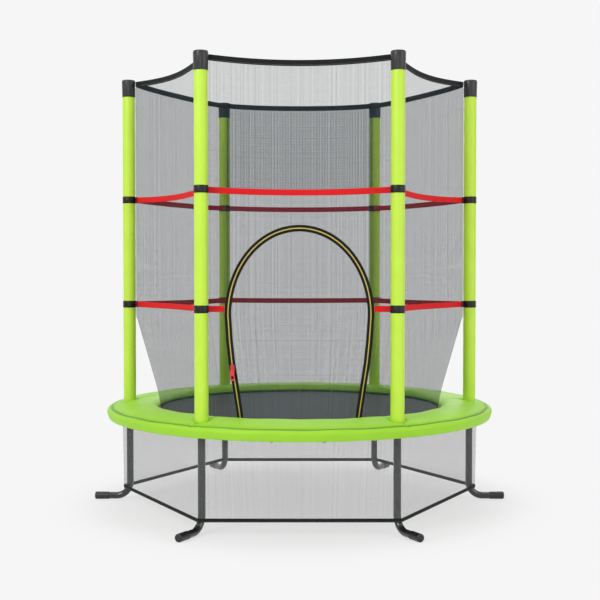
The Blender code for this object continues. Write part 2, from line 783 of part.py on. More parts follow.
def make_zip_slider(finishes):
    """A channel that straddles the teeth, with two ears for the pull's pin."""
    cheek = TEETH_HALF + SLIDER_CLEAR
    low = TAPE_THICK / 2 + SLIDER_LIFT
    roof = TAPE_THICK / 2 + TEETH_HEIGHT + SLIDER_CLEAR
    top = roof + SLIDER_WALL
    bevel_across, bevel_down = SLIDER_BEVEL
    right = [
        (cheek, roof),
        (cheek, low),
        (SLIDER_HALF, low),
        (SLIDER_HALF, top - bevel_down),
        (SLIDER_HALF - bevel_across, top),
    ]
    outline = right + [(-x, z) for x, z in reversed(right)]
    channel = extruded(outline, -SLIDER_LENGTH / 2, SLIDER_LENGTH / 2)
    ears = []
    for side in (-1.0, 1.0):
        inner, outer = sorted((side * EAR_INNER, side * EAR_OUTER))
        foot = (inner, PIN_UP - EAR_HALF, top - EAR_ROOT)
        ears.append(box(foot, (outer, PIN_UP + EAR_HALF, PIN_OUT + EAR_RISE)))
    hole = round_bar(EAR_OUTER + EAR_ROOT, clear_radius(PIN_R, PIN_SIDES))
    bmesh.ops.translate(hole, verts=hole.verts, vec=(0.0, PIN_UP, PIN_OUT))
    mesh = combined("zip_slider", channel, joined=ears, cut=(hole,))
    add_object("zip_slider", mesh, finishes["zip_pull"], zip_frame())


def make_zip_pull(finishes):
    """A flat tab that hangs plumb from its pin. Its origin is on the pin's axis."""
    outline = [*PULL_RIGHT, *((-x, z) for x, z in reversed(PULL_RIGHT))]
    bm = extruded(outline, -PULL_THICK / 2, PULL_THICK / 2)
    stand_up = Matrix(((1, 0, 0, 0), (0, 0, 1, 0), (0, 1, 0, 0), (0, 0, 0, 1)))
    bmesh.ops.transform(bm, matrix=stand_up, verts=bm.verts)
    window = box((-WINDOW_HALF, WINDOW_LOW, -PULL_THICK), (WINDOW_HALF, WINDOW_TOP, PULL_THICK))
    frame = zip_frame()
    hang = Matrix.Rotation(-math.atan2(frame.col[0].z, frame.col[1].z), 4, "Z")
    for part in (bm, window):
        bmesh.ops.transform(part, matrix=hang, verts=part.verts)
    pin = round_bar(EAR_OUTER, PIN_R)
    mesh = combined("zip_pull", bm, joined=(pin,), cut=(window,))
    matrix = frame @ Matrix.Translation((0.0, PIN_UP, PIN_OUT))
    add_object("zip_pull", mesh, finishes["zip_pull"], matrix)


# ---- bands and hems ------------------------------------------------------------------------


def round_line(stops, place, z):
    """World points along a level line of the cloth. stops are (side index, flat x)."""
    return [side_matrix(side) @ place(x, z) for side, x in stops]


def side_stops(half, count):
    """Stops round all six sides, one at each corner and count - 1 between."""
    return [
        (side, half * (2.0 * i / count - 1.0))
        for side in range(CORNERS)
        for i in range(count)
    ]


def band_sections(points, height, inner, outer, closed):
    """Rectangles along a line, from inner to outer outside it, mitred where it turns."""
    count = len(points)
    sections = []
    for i, point in enumerate(points):
        before = points[i - 1] if closed or i else point
        after = points[(i + 1) % count] if closed or i < count - 1 else point
        steps = [(b - a).xy.normalized() for a, b in ((before, point), (point, after)) if b != a]
        tangent = sum(steps, Vector((0.0, 0.0))).normalized()
        normal = Vector((tangent.y, -tangent.x)) / tangent.dot(steps[-1])
        normal = Vector((*normal, 0.0))
        lift = Vector((0.0, 0.0, height / 2))
        sections.append(
            [
                point + normal * inner - lift,
                point + normal * outer - lift,
                point + normal * outer + lift,
                point + normal * inner + lift,
            ]
        )
    return sections


def elastic_loop(index, z):
    """A loop of flat elastic round one foam sleeve."""
    inner = clear_radius(SLEEVE_R, LOOP_SIDES)
    outer = inner + LOOP_THICK
    low, high = z - LOOP_HEIGHT / 2, z + LOOP_HEIGHT / 2
    loop = turned(((inner, low), (outer, low), (outer, high), (inner, high)), LOOP_SIDES)
    return at_post(loop, index)


def make_bands(finishes):
    """Two webbing bands outside the net, each with its loops; the lower one stops at the zip."""
    inner = NET_THICK / 2 + GAP
    outer = inner + BAND_THICK
    whole = side_stops(NET_HALF, NET_COLUMNS)
    door_edge = DOOR_HALF + TAPE_HALF + ZIP_GAP
    after = [stop for stop in whole if stop[0] > FRONT]
    before = [stop for stop in whole if stop[0] < FRONT]
    broken = [(FRONT, door_edge), *after, *before, (FRONT, -NET_HALF), (FRONT, -door_edge)]
    for name, z, stops, closed in (
        ("upper_band", UPPER_BAND_Z, whole, True),
        ("lower_band", LOWER_BAND_Z, broken, False),
    ):
        points = round_line(stops, net_place, z)
        bm, rings = ribbon(band_sections(points, BAND_HEIGHT, inner, outer, closed))
        band = joined_round(bm, rings) if closed else capped(bm, rings)
        loops = [elastic_loop(index, z) for index in range(CORNERS)]
        add_object(name, combined(name, band, joined=loops), finishes["band"])


def make_hem(name, points, height, thick, finishes):
    """A closed tape along a line, half its thickness to each side."""
    bm, rings = ribbon(band_sections(points, height, -thick / 2, thick / 2, True))
    add_object(name, mesh_of(joined_round(bm, rings), name), finishes["tape"])


def make_hems(finishes):
    """The tape along the net's top and the narrower one along the skirt's foot."""
    net_line = round_line(side_stops(NET_HALF, NET_COLUMNS), net_place, HEM_Z)
    make_hem("top_hem", net_line, HEM_HEIGHT, HEM_THICK, finishes)
    skirt_line = round_line(side_stops(SKIRT_HALF, 1), skirt_place, SKIRT_HEM_Z)
    make_hem("skirt_hem", skirt_line, SKIRT_HEM_HEIGHT, SKIRT_HEM_THICK, finishes)


# ---- pad, mat, cord, skirt -------------------------------------------------------------------


def pad_section(angle, dip):
    """The pad's section at an angle, with its crown pulled down by a seam's dip."""
    section = []
    for i, (radius, z) in enumerate(PAD_PROFILE):
        height = z - dip if i in PAD_CROWN else z
        section.append(Vector((radius * math.cos(angle), radius * math.sin(angle), height)))
    return section


def pad_seat(index):
    """What a post cuts from the pad: the pole's hole, and above it the sleeve's seat."""
    hole = clear_radius(TUBE_R, PIPE_SIDES) + PAD_HOLE_SPARE
    seat = clear_radius(SLEEVE_R, PIPE_SIDES)
    seat_z = SLEEVE_FOOT_Z - GAP
    low, high = PAD_CUT
    profile = ((0.0, low), (hole, low), (hole, seat_z), (seat, seat_z), (seat, high), (0.0, high))
    return at_post(turned(profile, PIPE_SIDES), index)


def make_spring_pad(finishes):
    """A padded ring with a crown, an outer seam, a valance and six radial seams."""
    sections = [
        pad_section(SECTOR * sector + math.radians(degrees), 0.0 if degrees else PAD_SEAM_DEPTH)
        for sector in range(CORNERS)
        for degrees in PAD_SECTOR_STATIONS
    ]
    pad = joined_round(*ribbon(sections))
    seats = [pad_seat(index) for index in range(CORNERS)]
    add_object("spring_pad", combined("spring_pad", pad, cut=seats), finishes["pad"])


def make_jump_mat(finishes):
    """A round mat with a doubled hem below its edge and an eyelet for each turn of the cord."""
    hem_low = MAT_TOP - MAT_HEM_THICK
    profile = (
        (0.0, MAT_TOP),
        (MAT_R, MAT_TOP),
        (MAT_R, hem_low),
        (MAT_HEM_R, hem_low),
        (MAT_HEM_R, MAT_TOP - MAT_THICK),
        (0.0, MAT_TOP - MAT_THICK),
    )
    eyelets = bmesh.new()
    for turn in range(CORD_TURNS):
        angle = math.tau * turn / CORD_TURNS
        outwards = Matrix.Rotation(angle, 4, "Z") @ Matrix.Translation((EYELET_RING_R, 0.0, MAT_TOP))
        bmesh.ops.create_cone(
            eyelets,
            cap_ends=True,
            segments=EYELET_SIDES,
            radius1=EYELET_R,
            radius2=EYELET_R,
            depth=MAT_R - MAT_HEM_R,
            matrix=outwards,
        )
    mesh = combined("jump_mat", turned(profile, MAT_SEGMENTS), cut=(eyelets,))
    add_object("jump_mat", mesh, finishes["mat"])


def rail_radius(angle):
    """The radius of the rail's middle line, which is straight between its steps."""
    half_step = SECTOR / RAIL_STEPS / 2
    return RING_R * math.cos(half_step) / math.cos(angle % (2 * half_step) - half_step)


def cord_turn(turn):
    """Points of one turn of the cord: down through an eyelet, then up round the rail."""
    eyelet = math.tau * turn / CORD_TURNS
    above = MAT_TOP + CORD_R + CORD_ABOVE
    below = MAT_TOP - MAT_HEM_THICK - CORD_R - CORD_BELOW
    places = [(eyelet, EYELET_RING_R, above), (eyelet, EYELET_RING_R, below)]
    for i, wrap in enumerate(math.radians(degrees) for degrees in CORD_WRAP):
        angle = eyelet + math.tau / CORD_TURNS * (CORD_WRAP_START + CORD_WRAP_STEP * i)
        radius = rail_radius(angle) + CORD_WRAP_R * math.cos(wrap)
        places.append((angle, radius, RAIL_Z + CORD_WRAP_R * math.sin(wrap)))
    return [(radius * math.cos(angle), radius * math.sin(angle), z) for angle, radius, z in places]


def least_gap(points, radius):
    """The cord's least clear distance to itself, more than a quarter turn apart."""
    places = np.array(points)
    count = len(places)
    index = np.arange(count)
    apart = np.abs(index[:, None] - index[None, :])
    apart = np.minimum(apart, count - apart)
    distance = np.linalg.norm(places[:, None] - places[None, :], axis=2)
    return float(distance[apart > 1].min() - 2 * radius)


def make_elastic_cord(finishes):
    """One cord laced round and round, through the mat's eyelets and over the rail."""
    points = [place for turn in range(CORD_TURNS) for place in cord_turn(turn)]
    curve = bpy.data.curves.new("elastic_cord", "CURVE")
    curve.dimensions = "3D"
    curve.bevel_depth = CORD_R
    curve.bevel_resolution = 1
    curve.use_fill_caps = True
    spline = curve.splines.new("POLY")
    spline.points.add(len(points) - 1)
    for point, place in zip(spline.points, points):
        point.co = (*place, 1.0)
    spline.use_cyclic_u = True
    curve.materials.append(finishes["cord"])
    obj = bpy.data.objects.new("elastic_cord", curve)
    bpy.context.collection.objects.link(obj)
    print(f"elastic_cord: least gap to itself {least_gap(points, CORD_R) * 1000:.2f} mm")


def make_skirt_panels(finishes):
    """Six panels of open net outside the legs, from the hem up behind the pad's valance."""
    half = SKIRT_HALF - SKIRT_SEAM
    middles = [SKIRT_HALF * (2.0 * i / NET_COLUMNS - 1.0) for i in range(1, NET_COLUMNS)]
    columns = strand_spans(-half, half, middles, STRAND)
    rows = strand_spans(SKIRT_LOW, SKIRT_TOP, (), STRAND)
    mesh = lattice("skirt_panel", columns, rows, skirt_place)
    for index, side in enumerate(SIDE_NAMES):
        panel = add_object(f"skirt_panel_{side}", mesh, finishes["skirt"], side_matrix(index))
        thicken(panel, NET_THICK)


# ---- the whole -----------------------------------------------------------------------------


def print_joints():
    """The joints' places and axes, in world coordinates."""
    frame = zip_frame()
    across, up = frame.to_3x3().col[0], frame.to_3x3().col[1]
    hinge = side_matrix(FRONT) @ hinge_place()
    pin = frame @ Vector((0.0, PIN_UP, PIN_OUT))
    places = {"door hinge": hinge, "zip": frame.translation, "zip up": up}
    places.update({"pin": pin, "pin axis": across})
    for label, vector in places.items():
        print(label, [round(value, 6) for value in vector])


def main():
    """Build every piece in an empty scene."""
    for obj in list(bpy.data.objects):
        bpy.data.objects.remove(obj)
    finishes = make_finishes()
    make_rail_tubes(finishes)
    make_legs(finishes)
    make_foot_caps(finishes)
    make_poles(finishes)
    make_foam_sleeves(finishes)
    make_pole_caps(finishes)
    make_net_panels(finishes)
    make_door_panel(finishes)
    make_zip_tape(finishes)
    make_zip_slider(finishes)
    make_zip_pull(finishes)
    make_bands(finishes)
    make_hems(finishes)
    make_spring_pad(finishes)
    make_jump_mat(finishes)
    make_elastic_cord(finishes)
    make_skirt_panels(finishes)
    print_joints()


main()
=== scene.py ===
"""The looks of a children's trampoline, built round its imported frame.

Metres, +Z up. The floor is z = 0, the middle of the round frame is the Z axis and the
zipped doorway faces -Y. Six posts stand on one circle, every 60 degrees from +X.

Each sub-assembly is a class: its fields are its sizes, its methods work out its
surfaces with numpy and dress them. A cloth side is drawn facing +X, by its flat
places (x along the side, z height), and then turned to where it stands.
"""

import logging
import math
from dataclasses import dataclass, field
from enum import Enum
from typing import Callable, Dict, List, Optional, Sequence, Tuple, Union

import bmesh
import bpy
import numpy as np
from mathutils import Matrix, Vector


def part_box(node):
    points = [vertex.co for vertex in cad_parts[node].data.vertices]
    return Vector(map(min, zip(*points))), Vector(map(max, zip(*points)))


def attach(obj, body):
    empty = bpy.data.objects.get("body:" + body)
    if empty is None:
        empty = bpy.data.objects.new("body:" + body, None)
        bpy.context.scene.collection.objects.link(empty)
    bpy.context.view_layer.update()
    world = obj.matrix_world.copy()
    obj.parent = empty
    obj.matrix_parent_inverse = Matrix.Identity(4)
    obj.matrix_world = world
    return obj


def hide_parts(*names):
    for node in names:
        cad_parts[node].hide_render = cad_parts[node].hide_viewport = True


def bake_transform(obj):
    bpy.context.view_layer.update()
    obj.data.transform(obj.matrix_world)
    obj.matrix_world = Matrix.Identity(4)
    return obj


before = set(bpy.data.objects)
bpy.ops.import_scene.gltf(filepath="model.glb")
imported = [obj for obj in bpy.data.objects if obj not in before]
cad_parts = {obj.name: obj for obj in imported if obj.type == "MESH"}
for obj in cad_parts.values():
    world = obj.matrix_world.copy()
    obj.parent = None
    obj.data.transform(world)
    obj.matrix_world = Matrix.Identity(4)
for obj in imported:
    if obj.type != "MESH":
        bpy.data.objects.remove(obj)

log = logging.getLogger("trampoline")

Array = np.ndarray
Colour = Tuple[float, float, float]
Triple = Tuple[float, float, float]

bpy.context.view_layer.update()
PHOTO_PIXELS = 600.0
SECTOR = math.tau / 6
QUARTER = math.tau / 4
ALONG_X, ALONG_Y, UP = (1.0, 0.0, 0.0), (0.0, 1.0, 0.0), (0.0, 0.0, 1.0)
GAP = 0.0003  # What separates two pieces that touch.


class Sixth(Enum):
    """One of six places round the Z axis, counted anticlockwise."""

    @property
    def label(self) -> str:
        """Its name as the nodes write it."""
        return self.name.lower()


class Corner(Sixth):
    """The six posts, from the one on +X."""

    RIGHT = 0
    BACK_RIGHT = 1
    BACK_LEFT = 2
    LEFT = 3
    FRONT_LEFT = 4
    FRONT_RIGHT = 5

    @property
    def angle(self) -> float:
        """The post's direction from the middle, in radians from +X."""
        return self.value * SECTOR


class Side(Sixth):
    """The six cloth sides between the posts."""

    RIGHT_BACK = 0
    BACK = 1
    LEFT_BACK = 2
    LEFT_FRONT = 3
    FRONT = 4
    RIGHT_FRONT = 5

    @property
    def angle(self) -> float:
        """The direction that the side faces, in radians from +X."""
        return (self.value + 0.5) * SECTOR


# ---- surfaces --------------------------------------------------------------------------


def turn_z(points: Array, angle: float) -> Array:
    """Turn points about the Z axis.

    Args:
        points: An array of any shape whose last axis is x, y, z.
        angle: Radians, anticlockwise seen from above.

    Returns:
        The turned points, in the same shape.
    """
    cos, sin = math.cos(angle), math.sin(angle)
    turned = points.copy()
    turned[..., 0] = points[..., 0] * cos - points[..., 1] * sin
    turned[..., 1] = points[..., 0] * sin + points[..., 1] * cos
    return turned


def unit(vectors: Array) -> Array:
    """Scale each vector of the last axis to length 1."""
    length = np.linalg.norm(vectors, axis=-1, keepdims=True)
    return vectors / np.maximum(length, 1e-12)


def smooth_step(share: Array) -> Array:
    """Ease from 0 to 1: 3 s^2 - 2 s^3 of the share s, held at both ends."""
    s = np.clip(share, 0.0, 1.0)
    return s * s * (3.0 - 2.0 * s)


def run_length(points: Array, axis: int = 0) -> Array:
    """The distance travelled along an axis of a grid of points, from 0 at its start."""
    steps = np.linalg.norm(np.diff(points, axis=axis), axis=-1)
    total = np.cumsum(steps, axis=axis)
    return np.insert(total, 0, 0.0, axis=axis)


def spline(points: Array, steps: int, closed: bool) -> Array:
    """A Catmull-Rom curve through points.

    Between b and c, with neighbours a and d, the place at share t is half of
    2b + (c - a)t + (2a - 5b + 4c - d)t^2 + (3b - a - 3c + d)t^3.

    Args:
        points: The points to pass through, (n, k).
        steps: Samples for each stretch.
        closed: Whether the last point leads back to the first.

    Returns:
        The samples; an open curve also has its last point.
    """
    if closed:
        a, b, c, d = (np.roll(points, shift, axis=0) for shift in (1, 0, -1, -2))
    else:
        padded = np.vstack([2 * points[0] - points[1], points, 2 * points[-1] - points[-2]])
        a, b, c, d = padded[:-3], padded[1:-2], padded[2:-1], padded[3:]
    t = (np.arange(steps) / steps)[None, :, None]
    a, b, c, d = (v[:, None, :] for v in (a, b, c, d))
    curve = 0.5 * (
        2 * b + (c - a) * t + (2 * a - 5 * b + 4 * c - d) * t**2 + (3 * b - a - 3 * c + d) * t**3
    )
    curve = curve.reshape(-1, points.shape[1])
    return curve if closed else np.vstack([curve, points[-1:]])


def sweep(centre: Sequence[float], first: Array, second: Array, turn: Array) -> Array:
    """An arc, or part of an ellipse: centre + first * cos + second * sin of each angle."""
    cos, sin = np.cos(turn)[:, None], np.sin(turn)[:, None]
    return np.asarray(centre) + cos * np.asarray(first) + sin * np.asarray(second)


def ring(radius: float, count: int) -> Array:
    """A closed round outline of even steps."""
    turn = math.tau * np.arange(count) / count
    return sweep((0.0, 0.0), (radius, 0.0), (0.0, radius), turn)


def slab(width: float, thick: float, rounding: float) -> Array:
    """A closed rectangle outline about its middle, each corner rounded in three steps."""
    corners = []
    for quarter, (sx, sy) in enumerate(((1, 1), (-1, 1), (-1, -1), (1, -1))):
        centre = (sx * (width / 2 - rounding), sy * (thick / 2 - rounding))
        turn = QUARTER * (quarter + np.arange(4) / 3)
        corners.append(sweep(centre, (rounding, 0.0), (0.0, rounding), turn))
    return np.vstack(corners)


def around_z(radius: Array, angle: Array, height: Array) -> Array:
    """The points at radii, angles about the Z axis and heights, each an array or a number."""
    radius, angle, height = np.broadcast_arrays(radius, angle, height)
    return np.stack([radius * np.cos(angle), radius * np.sin(angle), height], axis=-1)


def fixed(direction: Triple, path: Array) -> Array:
    """The same direction at every point of a path."""
    return np.broadcast_to(np.asarray(direction), path.shape)


def read_off(values: Array, travelled: Array, distance: Array) -> Array:
    """A path's values (n, 3) at some distances along it."""
    return np.stack([np.interp(distance, travelled, column) for column in values.T], axis=-1)


@dataclass
class Patch:
    """A surface that isn't an object yet: points, quads and each corner's cloth place."""

    points: Array
    quads: Array
    cloth: Array

    def turned(self, angle: float) -> "Patch":
        """The same patch, turned about the Z axis."""
        return Patch(turn_z(self.points, angle), self.quads, self.cloth)

    def moved(self, offset: Sequence[float]) -> "Patch":
        """The same patch, moved by an offset."""
        return Patch(self.points + np.asarray(offset, float), self.quads, self.cloth)

    def repeated(self, count: int) -> "Patch":
        """Copies of the patch at even angles about the Z axis, as one."""
        return together([self.turned(math.tau * k / count) for k in range(count)])


def grid(
    points: Array, wrap: Tuple[bool, bool] = (False, False), cloth: Optional[Array] = None
) -> Patch:
    """Quads over a grid of points.

    Args:
        points: (rows, columns, 3).
        wrap: Whether the rows, and the columns, close into a ring.
        cloth: (rows + 1 if wrapped, columns + 1 if wrapped, 2), in metres. Without it,
            it is the distance travelled along the first column and along each row.

    Returns:
        The patch. Its faces point along (row step) x (column step).
    """
    rows, columns = points.shape[:2]
    if cloth is None:
        whole = points
        whole = np.concatenate([whole, whole[:1]], axis=0) if wrap[0] else whole
        whole = np.concatenate([whole, whole[:, :1]], axis=1) if wrap[1] else whole
        along = np.broadcast_to(run_length(whole, 0).mean(axis=1)[:, None], whole.shape[:2])
        cloth = np.stack([along, run_length(whole, 1)], axis=-1)
    i, j = np.meshgrid(
        np.arange(rows if wrap[0] else rows - 1),
        np.arange(columns if wrap[1] else columns - 1),
        indexing="ij",
    )
    i, j = i.ravel(), j.ravel()
    spots = ((i, j), (i + 1, j), (i + 1, j + 1), (i, j + 1))
    quads = np.stack([(a % rows) * columns + b % columns for a, b in spots], axis=-1)
    return Patch(points.reshape(-1, 3), quads, np.stack([cloth[a, b] for a, b in spots], axis=1))


def together(patches: Sequence[Patch]) -> Patch:
    """Several patches as one."""
    starts = np.cumsum([0] + [len(p.points) for p in patches[:-1]])
    return Patch(
        np.concatenate([p.points for p in patches]),
        np.concatenate([p.quads + start for p, start in zip(patches, starts)]),
        np.concatenate([p.cloth for p in patches]),
    )


def blocks(corners: Sequence[Array]) -> Patch:
    """Small closed blocks: twelve arrays (n, 3), ring by ring, of three rings of four points."""
    points = np.stack(corners, axis=1)
    walls = [
        [4 * r + a, 4 * r + (a + 1) % 4, 4 * r + 4 + (a + 1) % 4, 4 * r + 4 + a]
        for r in range(2)
        for a in range(4)
    ]
    faces = np.array([*walls, [3, 2, 1, 0], [8, 9, 10, 11]])
    quads = (np.arange(len(points))[:, None, None] * 12 + faces).reshape(-1, 4)
    return Patch(points.reshape(-1, 3), quads, np.zeros((len(quads), 4, 2)))


def rows_along(profile: Array, centre: Array, across: Array, out: Array) -> Array:
    """A profile at each step of a path: centre + across * x + out * y."""
    x, y = profile[None, :, 0, None], profile[None, :, 1, None]
    return centre[:, None] + across[:, None] * x + out[:, None] * y


def carried(
    profile: Array, centre: Array, across: Array, out: Array, closed: bool = False
) -> Patch:
    """Carry a closed profile along a path.

    Args:
        profile: (m, 2) places x, y of the cross-section.
        centre: (n, 3) path.
        across: (n, 3) direction of the profile's x at each step.
        out: (n, 3) direction of the profile's y at each step.
        closed: Whether the path leads back to its start.

    Returns:
        The patch. The ends of an open path are closed by rings that shrink to a point.
    """
    rows = rows_along(profile, centre, across, out)
    if not closed:
        ends = [np.broadcast_to(row.mean(axis=0), row.shape)[None] for row in (rows[0], rows[-1])]
        rows = np.concatenate([ends[0], rows, ends[1]])
    return grid(rows, (closed, True))


def pipe(
    centre: Array, across: Array, out: Array, radius: float, bore: float, sides: int
) -> Patch:
    """A hollow tube: its outer wall along a path and its bore back again, as one closed ring."""
    wall, inner = (rows_along(ring(r, sides), centre, across, out) for r in (radius, bore))
    return grid(np.concatenate([wall, inner[::-1]]), (True, True))


def tube(path: Array, radius: float, sides: int, closed: bool = False) -> Patch:
    """A round tube along a path.

    The first cross direction is tangent x up, or tangent x Y where some of the path
    stands upright, and the second is the first x tangent.
    """
    tangent = path_tangents(path, closed)
    upright = (np.abs(tangent[:, 2]) > 0.95).any()
    across = unit(np.cross(tangent, ALONG_Y if upright else UP))
    return carried(ring(radius, sides), path, across, np.cross(across, tangent), closed)


def path_tangents(path: Array, closed: bool) -> Array:
    """Unit directions along a path, from each point's two neighbours."""
    if closed:
        return unit(np.roll(path, -1, axis=0) - np.roll(path, 1, axis=0))
    return unit(np.gradient(path, axis=0))


def turned(profile: Array, sides: int) -> Patch:
    """Turn a closed (radius, height) profile about the Z axis."""
    radius, height = np.asarray(profile).T
    angle = math.tau * np.arange(sides)[:, None] / sides
    return grid(around_z(radius, angle, height), (True, True))


def linked(name: str, data: bpy.types.ID) -> bpy.types.Object:
    """A new object of some data, in the scene."""
    made = bpy.data.objects.new(name, data)
    bpy.context.scene.collection.objects.link(made)
    return made


def piece(
    name: str,
    patch: Patch,
    finish: "Finish",
    solid: bool = True,
    sharp_degrees: float = 40.0,
) -> bpy.types.Object:
    """Make a finished object at the origin from a patch.

    Args:
        name: The piece's name.
        patch: Its surface.
        finish: Its material.
        solid: Whether it is closed, so that its doubles are merged and its faces turned out.
        sharp_degrees: Edges that bend more than this stay sharp.

    Returns:
        The linked object.
    """
    mesh = bpy.data.meshes.new(name)
    mesh.from_pydata(patch.points.tolist(), [], patch.quads.tolist())
    layer = mesh.uv_layers.new(name="cloth")
    layer.data.foreach_set("uv", patch.cloth.astype(np.float32).ravel())
    if solid:
        shape = bmesh.new()
        shape.from_mesh(mesh)
        bmesh.ops.remove_doubles(shape, verts=shape.verts, dist=1e-6)
        bmesh.ops.recalc_face_normals(shape, faces=shape.faces)
        shape.to_mesh(mesh)
        shape.free()
    mesh.shade_smooth()
    mesh.set_sharp_from_angle(angle=math.radians(sharp_degrees))
    mesh.materials.append(finish.material())
    log.info("%s: %d faces", name, len(mesh.polygons))
    return linked(name, mesh)


def cut(made: bpy.types.Object, name: str, holes: Patch, finish: "Finish") -> None:
    """Take the volume of a patch out of a piece, with a hidden cutter."""
    cutter = piece(name, holes, finish)
    cutter.hide_render = True
    cutter.display_type = "WIRE"
    modifier = made.modifiers.new(name, "BOOLEAN")
    modifier.operation = "DIFFERENCE"
    modifier.solver = "EXACT"
    modifier.object = cutter


# ---- shader graphs ---------------------------------------------------------------------


Number = Union[float, "Wire"]


def operator(operation: str, swapped: bool = False) -> Callable[["Wire", Number], "Wire"]:
    """A method that adds a Math node for self and another value, or for the two swapped."""

    def method(self: "Wire", other: Number) -> "Wire":
        """The node's result."""
        return self.graph.math(operation, *((other, self) if swapped else (self, other)))

    return method


class Wire:
    """A shader socket that takes part in arithmetic; each operation adds a Math node."""

    def __init__(self, graph: "Graph", socket: bpy.types.NodeSocket) -> None:
        """Wrap a socket of a graph."""
        self.graph = graph
        self.socket = socket

    __add__ = __radd__ = operator("ADD")
    __sub__, __rsub__ = operator("SUBTRACT"), operator("SUBTRACT", swapped=True)
    __mul__ = __rmul__ = operator("MULTIPLY")
    __truediv__ = operator("DIVIDE")
    larger = operator("MAXIMUM")

    def __abs__(self) -> "Wire":
        """The absolute value."""
        return self.graph.math("ABSOLUTE", self)

    def above(self, edge: Number, soft: float) -> "Wire":
        """0 below an edge and 1 above it, with a ramp of the width soft."""
        ramp = (self - edge) / soft + 0.5
        return self.graph.math("MINIMUM", ramp.larger(0.0), 1.0)


class Graph:
    """The nodes of a material or a world."""

    def __init__(self, owner: Union[bpy.types.Material, bpy.types.World]) -> None:
        """Start from an empty node tree."""
        owner.use_nodes = True
        self.tree = owner.node_tree
        self.tree.nodes.clear()
        self.shader: Optional[bpy.types.ShaderNode] = None

    def node(
        self,
        kind: str,
        settings: Optional[Dict[str, object]] = None,
        inputs: Optional[Dict[Union[str, int], object]] = None,
    ) -> bpy.types.ShaderNode:
        """Add a node of a kind, with its properties and its sockets' values or links."""
        added = self.tree.nodes.new(kind)
        for key, value in (settings or {}).items():
            setattr(added, key, value)
        for key, value in (inputs or {}).items():
            self.feed(added.inputs[key], value)
        return added

    def feed(self, socket: bpy.types.NodeSocket, value: object) -> None:
        """Link a socket, or set its value."""
        if isinstance(value, Wire):
            value = value.socket
        if isinstance(value, bpy.types.NodeSocket):
            self.tree.links.new(value, socket)
        elif isinstance(value, tuple) and len(value) == 3 and socket.type == "RGBA":
            socket.default_value = (*value, 1.0)
        else:
            socket.default_value = value

    def math(self, operation: str, *values: Number) -> Wire:
        """One Math node."""
        inputs = dict(enumerate(values))
        return Wire(self, self.node("ShaderNodeMath", {"operation": operation}, inputs).outputs[0])

    def place(self) -> Wire:
        """The Object coordinates."""
        return Wire(self, self.node("ShaderNodeTexCoord").outputs["Object"])

    def cloth(self) -> Tuple[Wire, Wire]:
        """The two cloth places, in metres: along the piece and across it."""
        coordinates = self.node("ShaderNodeUVMap", {"uv_map": "cloth"}).outputs["UV"]
        split = self.node("ShaderNodeSeparateXYZ", inputs={"Vector": coordinates})
        return Wire(self, split.outputs["X"]), Wire(self, split.outputs["Y"])

    def axes(self) -> Tuple[Wire, Wire, Wire]:
        """The Object coordinates as three numbers."""
        split = self.node("ShaderNodeSeparateXYZ", inputs={"Vector": self.place()})
        return tuple(Wire(self, split.outputs[axis]) for axis in "XYZ")

    def wave(self, place: Wire, spacing: float) -> Wire:
        """A sine wave that crosses zero at every spacing."""
        return self.math("SINE", place * (math.pi / spacing))

    def edge(self, place: Wire, pitch: float) -> Wire:
        """How far a place is from the middle of its cell: 0 there, 1 where the next begins."""
        return abs(self.math("FRACT", place / pitch) - 0.5) * 2.0

    def noise(self, scale: float, detail: float = 2.0) -> Wire:
        """Soft random values round 0.5, with blotches 1 / scale metres wide."""
        inputs = {"Vector": self.place(), "Scale": scale, "Detail": detail}
        return Wire(self, self.node("ShaderNodeTexNoise", inputs=inputs).outputs["Fac"])

    def streaks(self, place: Wire, scale: float) -> Wire:
        """Random values that change along one number only."""
        inputs = {"W": place, "Scale": scale, "Detail": 1.0}
        made = self.node("ShaderNodeTexNoise", {"noise_dimensions": "1D"}, inputs)
        return Wire(self, made.outputs["Fac"])

    def blend(self, share: Number, first: object, second: object) -> Wire:
        """A colour between two colours."""
        inputs = {0: share, 6: first, 7: second}
        return Wire(self, self.node("ShaderNodeMix", {"data_type": "RGBA"}, inputs).outputs[2])

    def bump(self, height: Wire, distance: float, strength: float) -> None:
        """Let a height, in shares of a distance in metres, tilt the surface."""
        inputs = {"Height": height, "Distance": distance, "Strength": strength}
        self.set(Normal=self.node("ShaderNodeBump", inputs=inputs).outputs["Normal"])

    def set(self, **sockets: object) -> None:
        """Set or link the shader's sockets, named with _ for a space."""
        for key, value in sockets.items():
            self.feed(self.shader.inputs[key.replace("_", " ")], value)

    def seen(self) -> Wire:
        """1 for what the camera, reflections and glass see, and 0 for all other light."""
        rays = self.node("ShaderNodeLightPath").outputs
        kinds = ("Camera", "Glossy", "Transmission")
        camera, glossy, glass = (Wire(self, rays[f"Is {kind} Ray"]) for kind in kinds)
        return camera.larger(glossy).larger(glass)

    def mixed(
        self, share: Wire, first: bpy.types.NodeSocket, second: bpy.types.NodeSocket
    ) -> bpy.types.NodeSocket:
        """A mix of two shaders."""
        return self.node("ShaderNodeMixShader", inputs={0: share, 1: first, 2: second}).outputs[0]


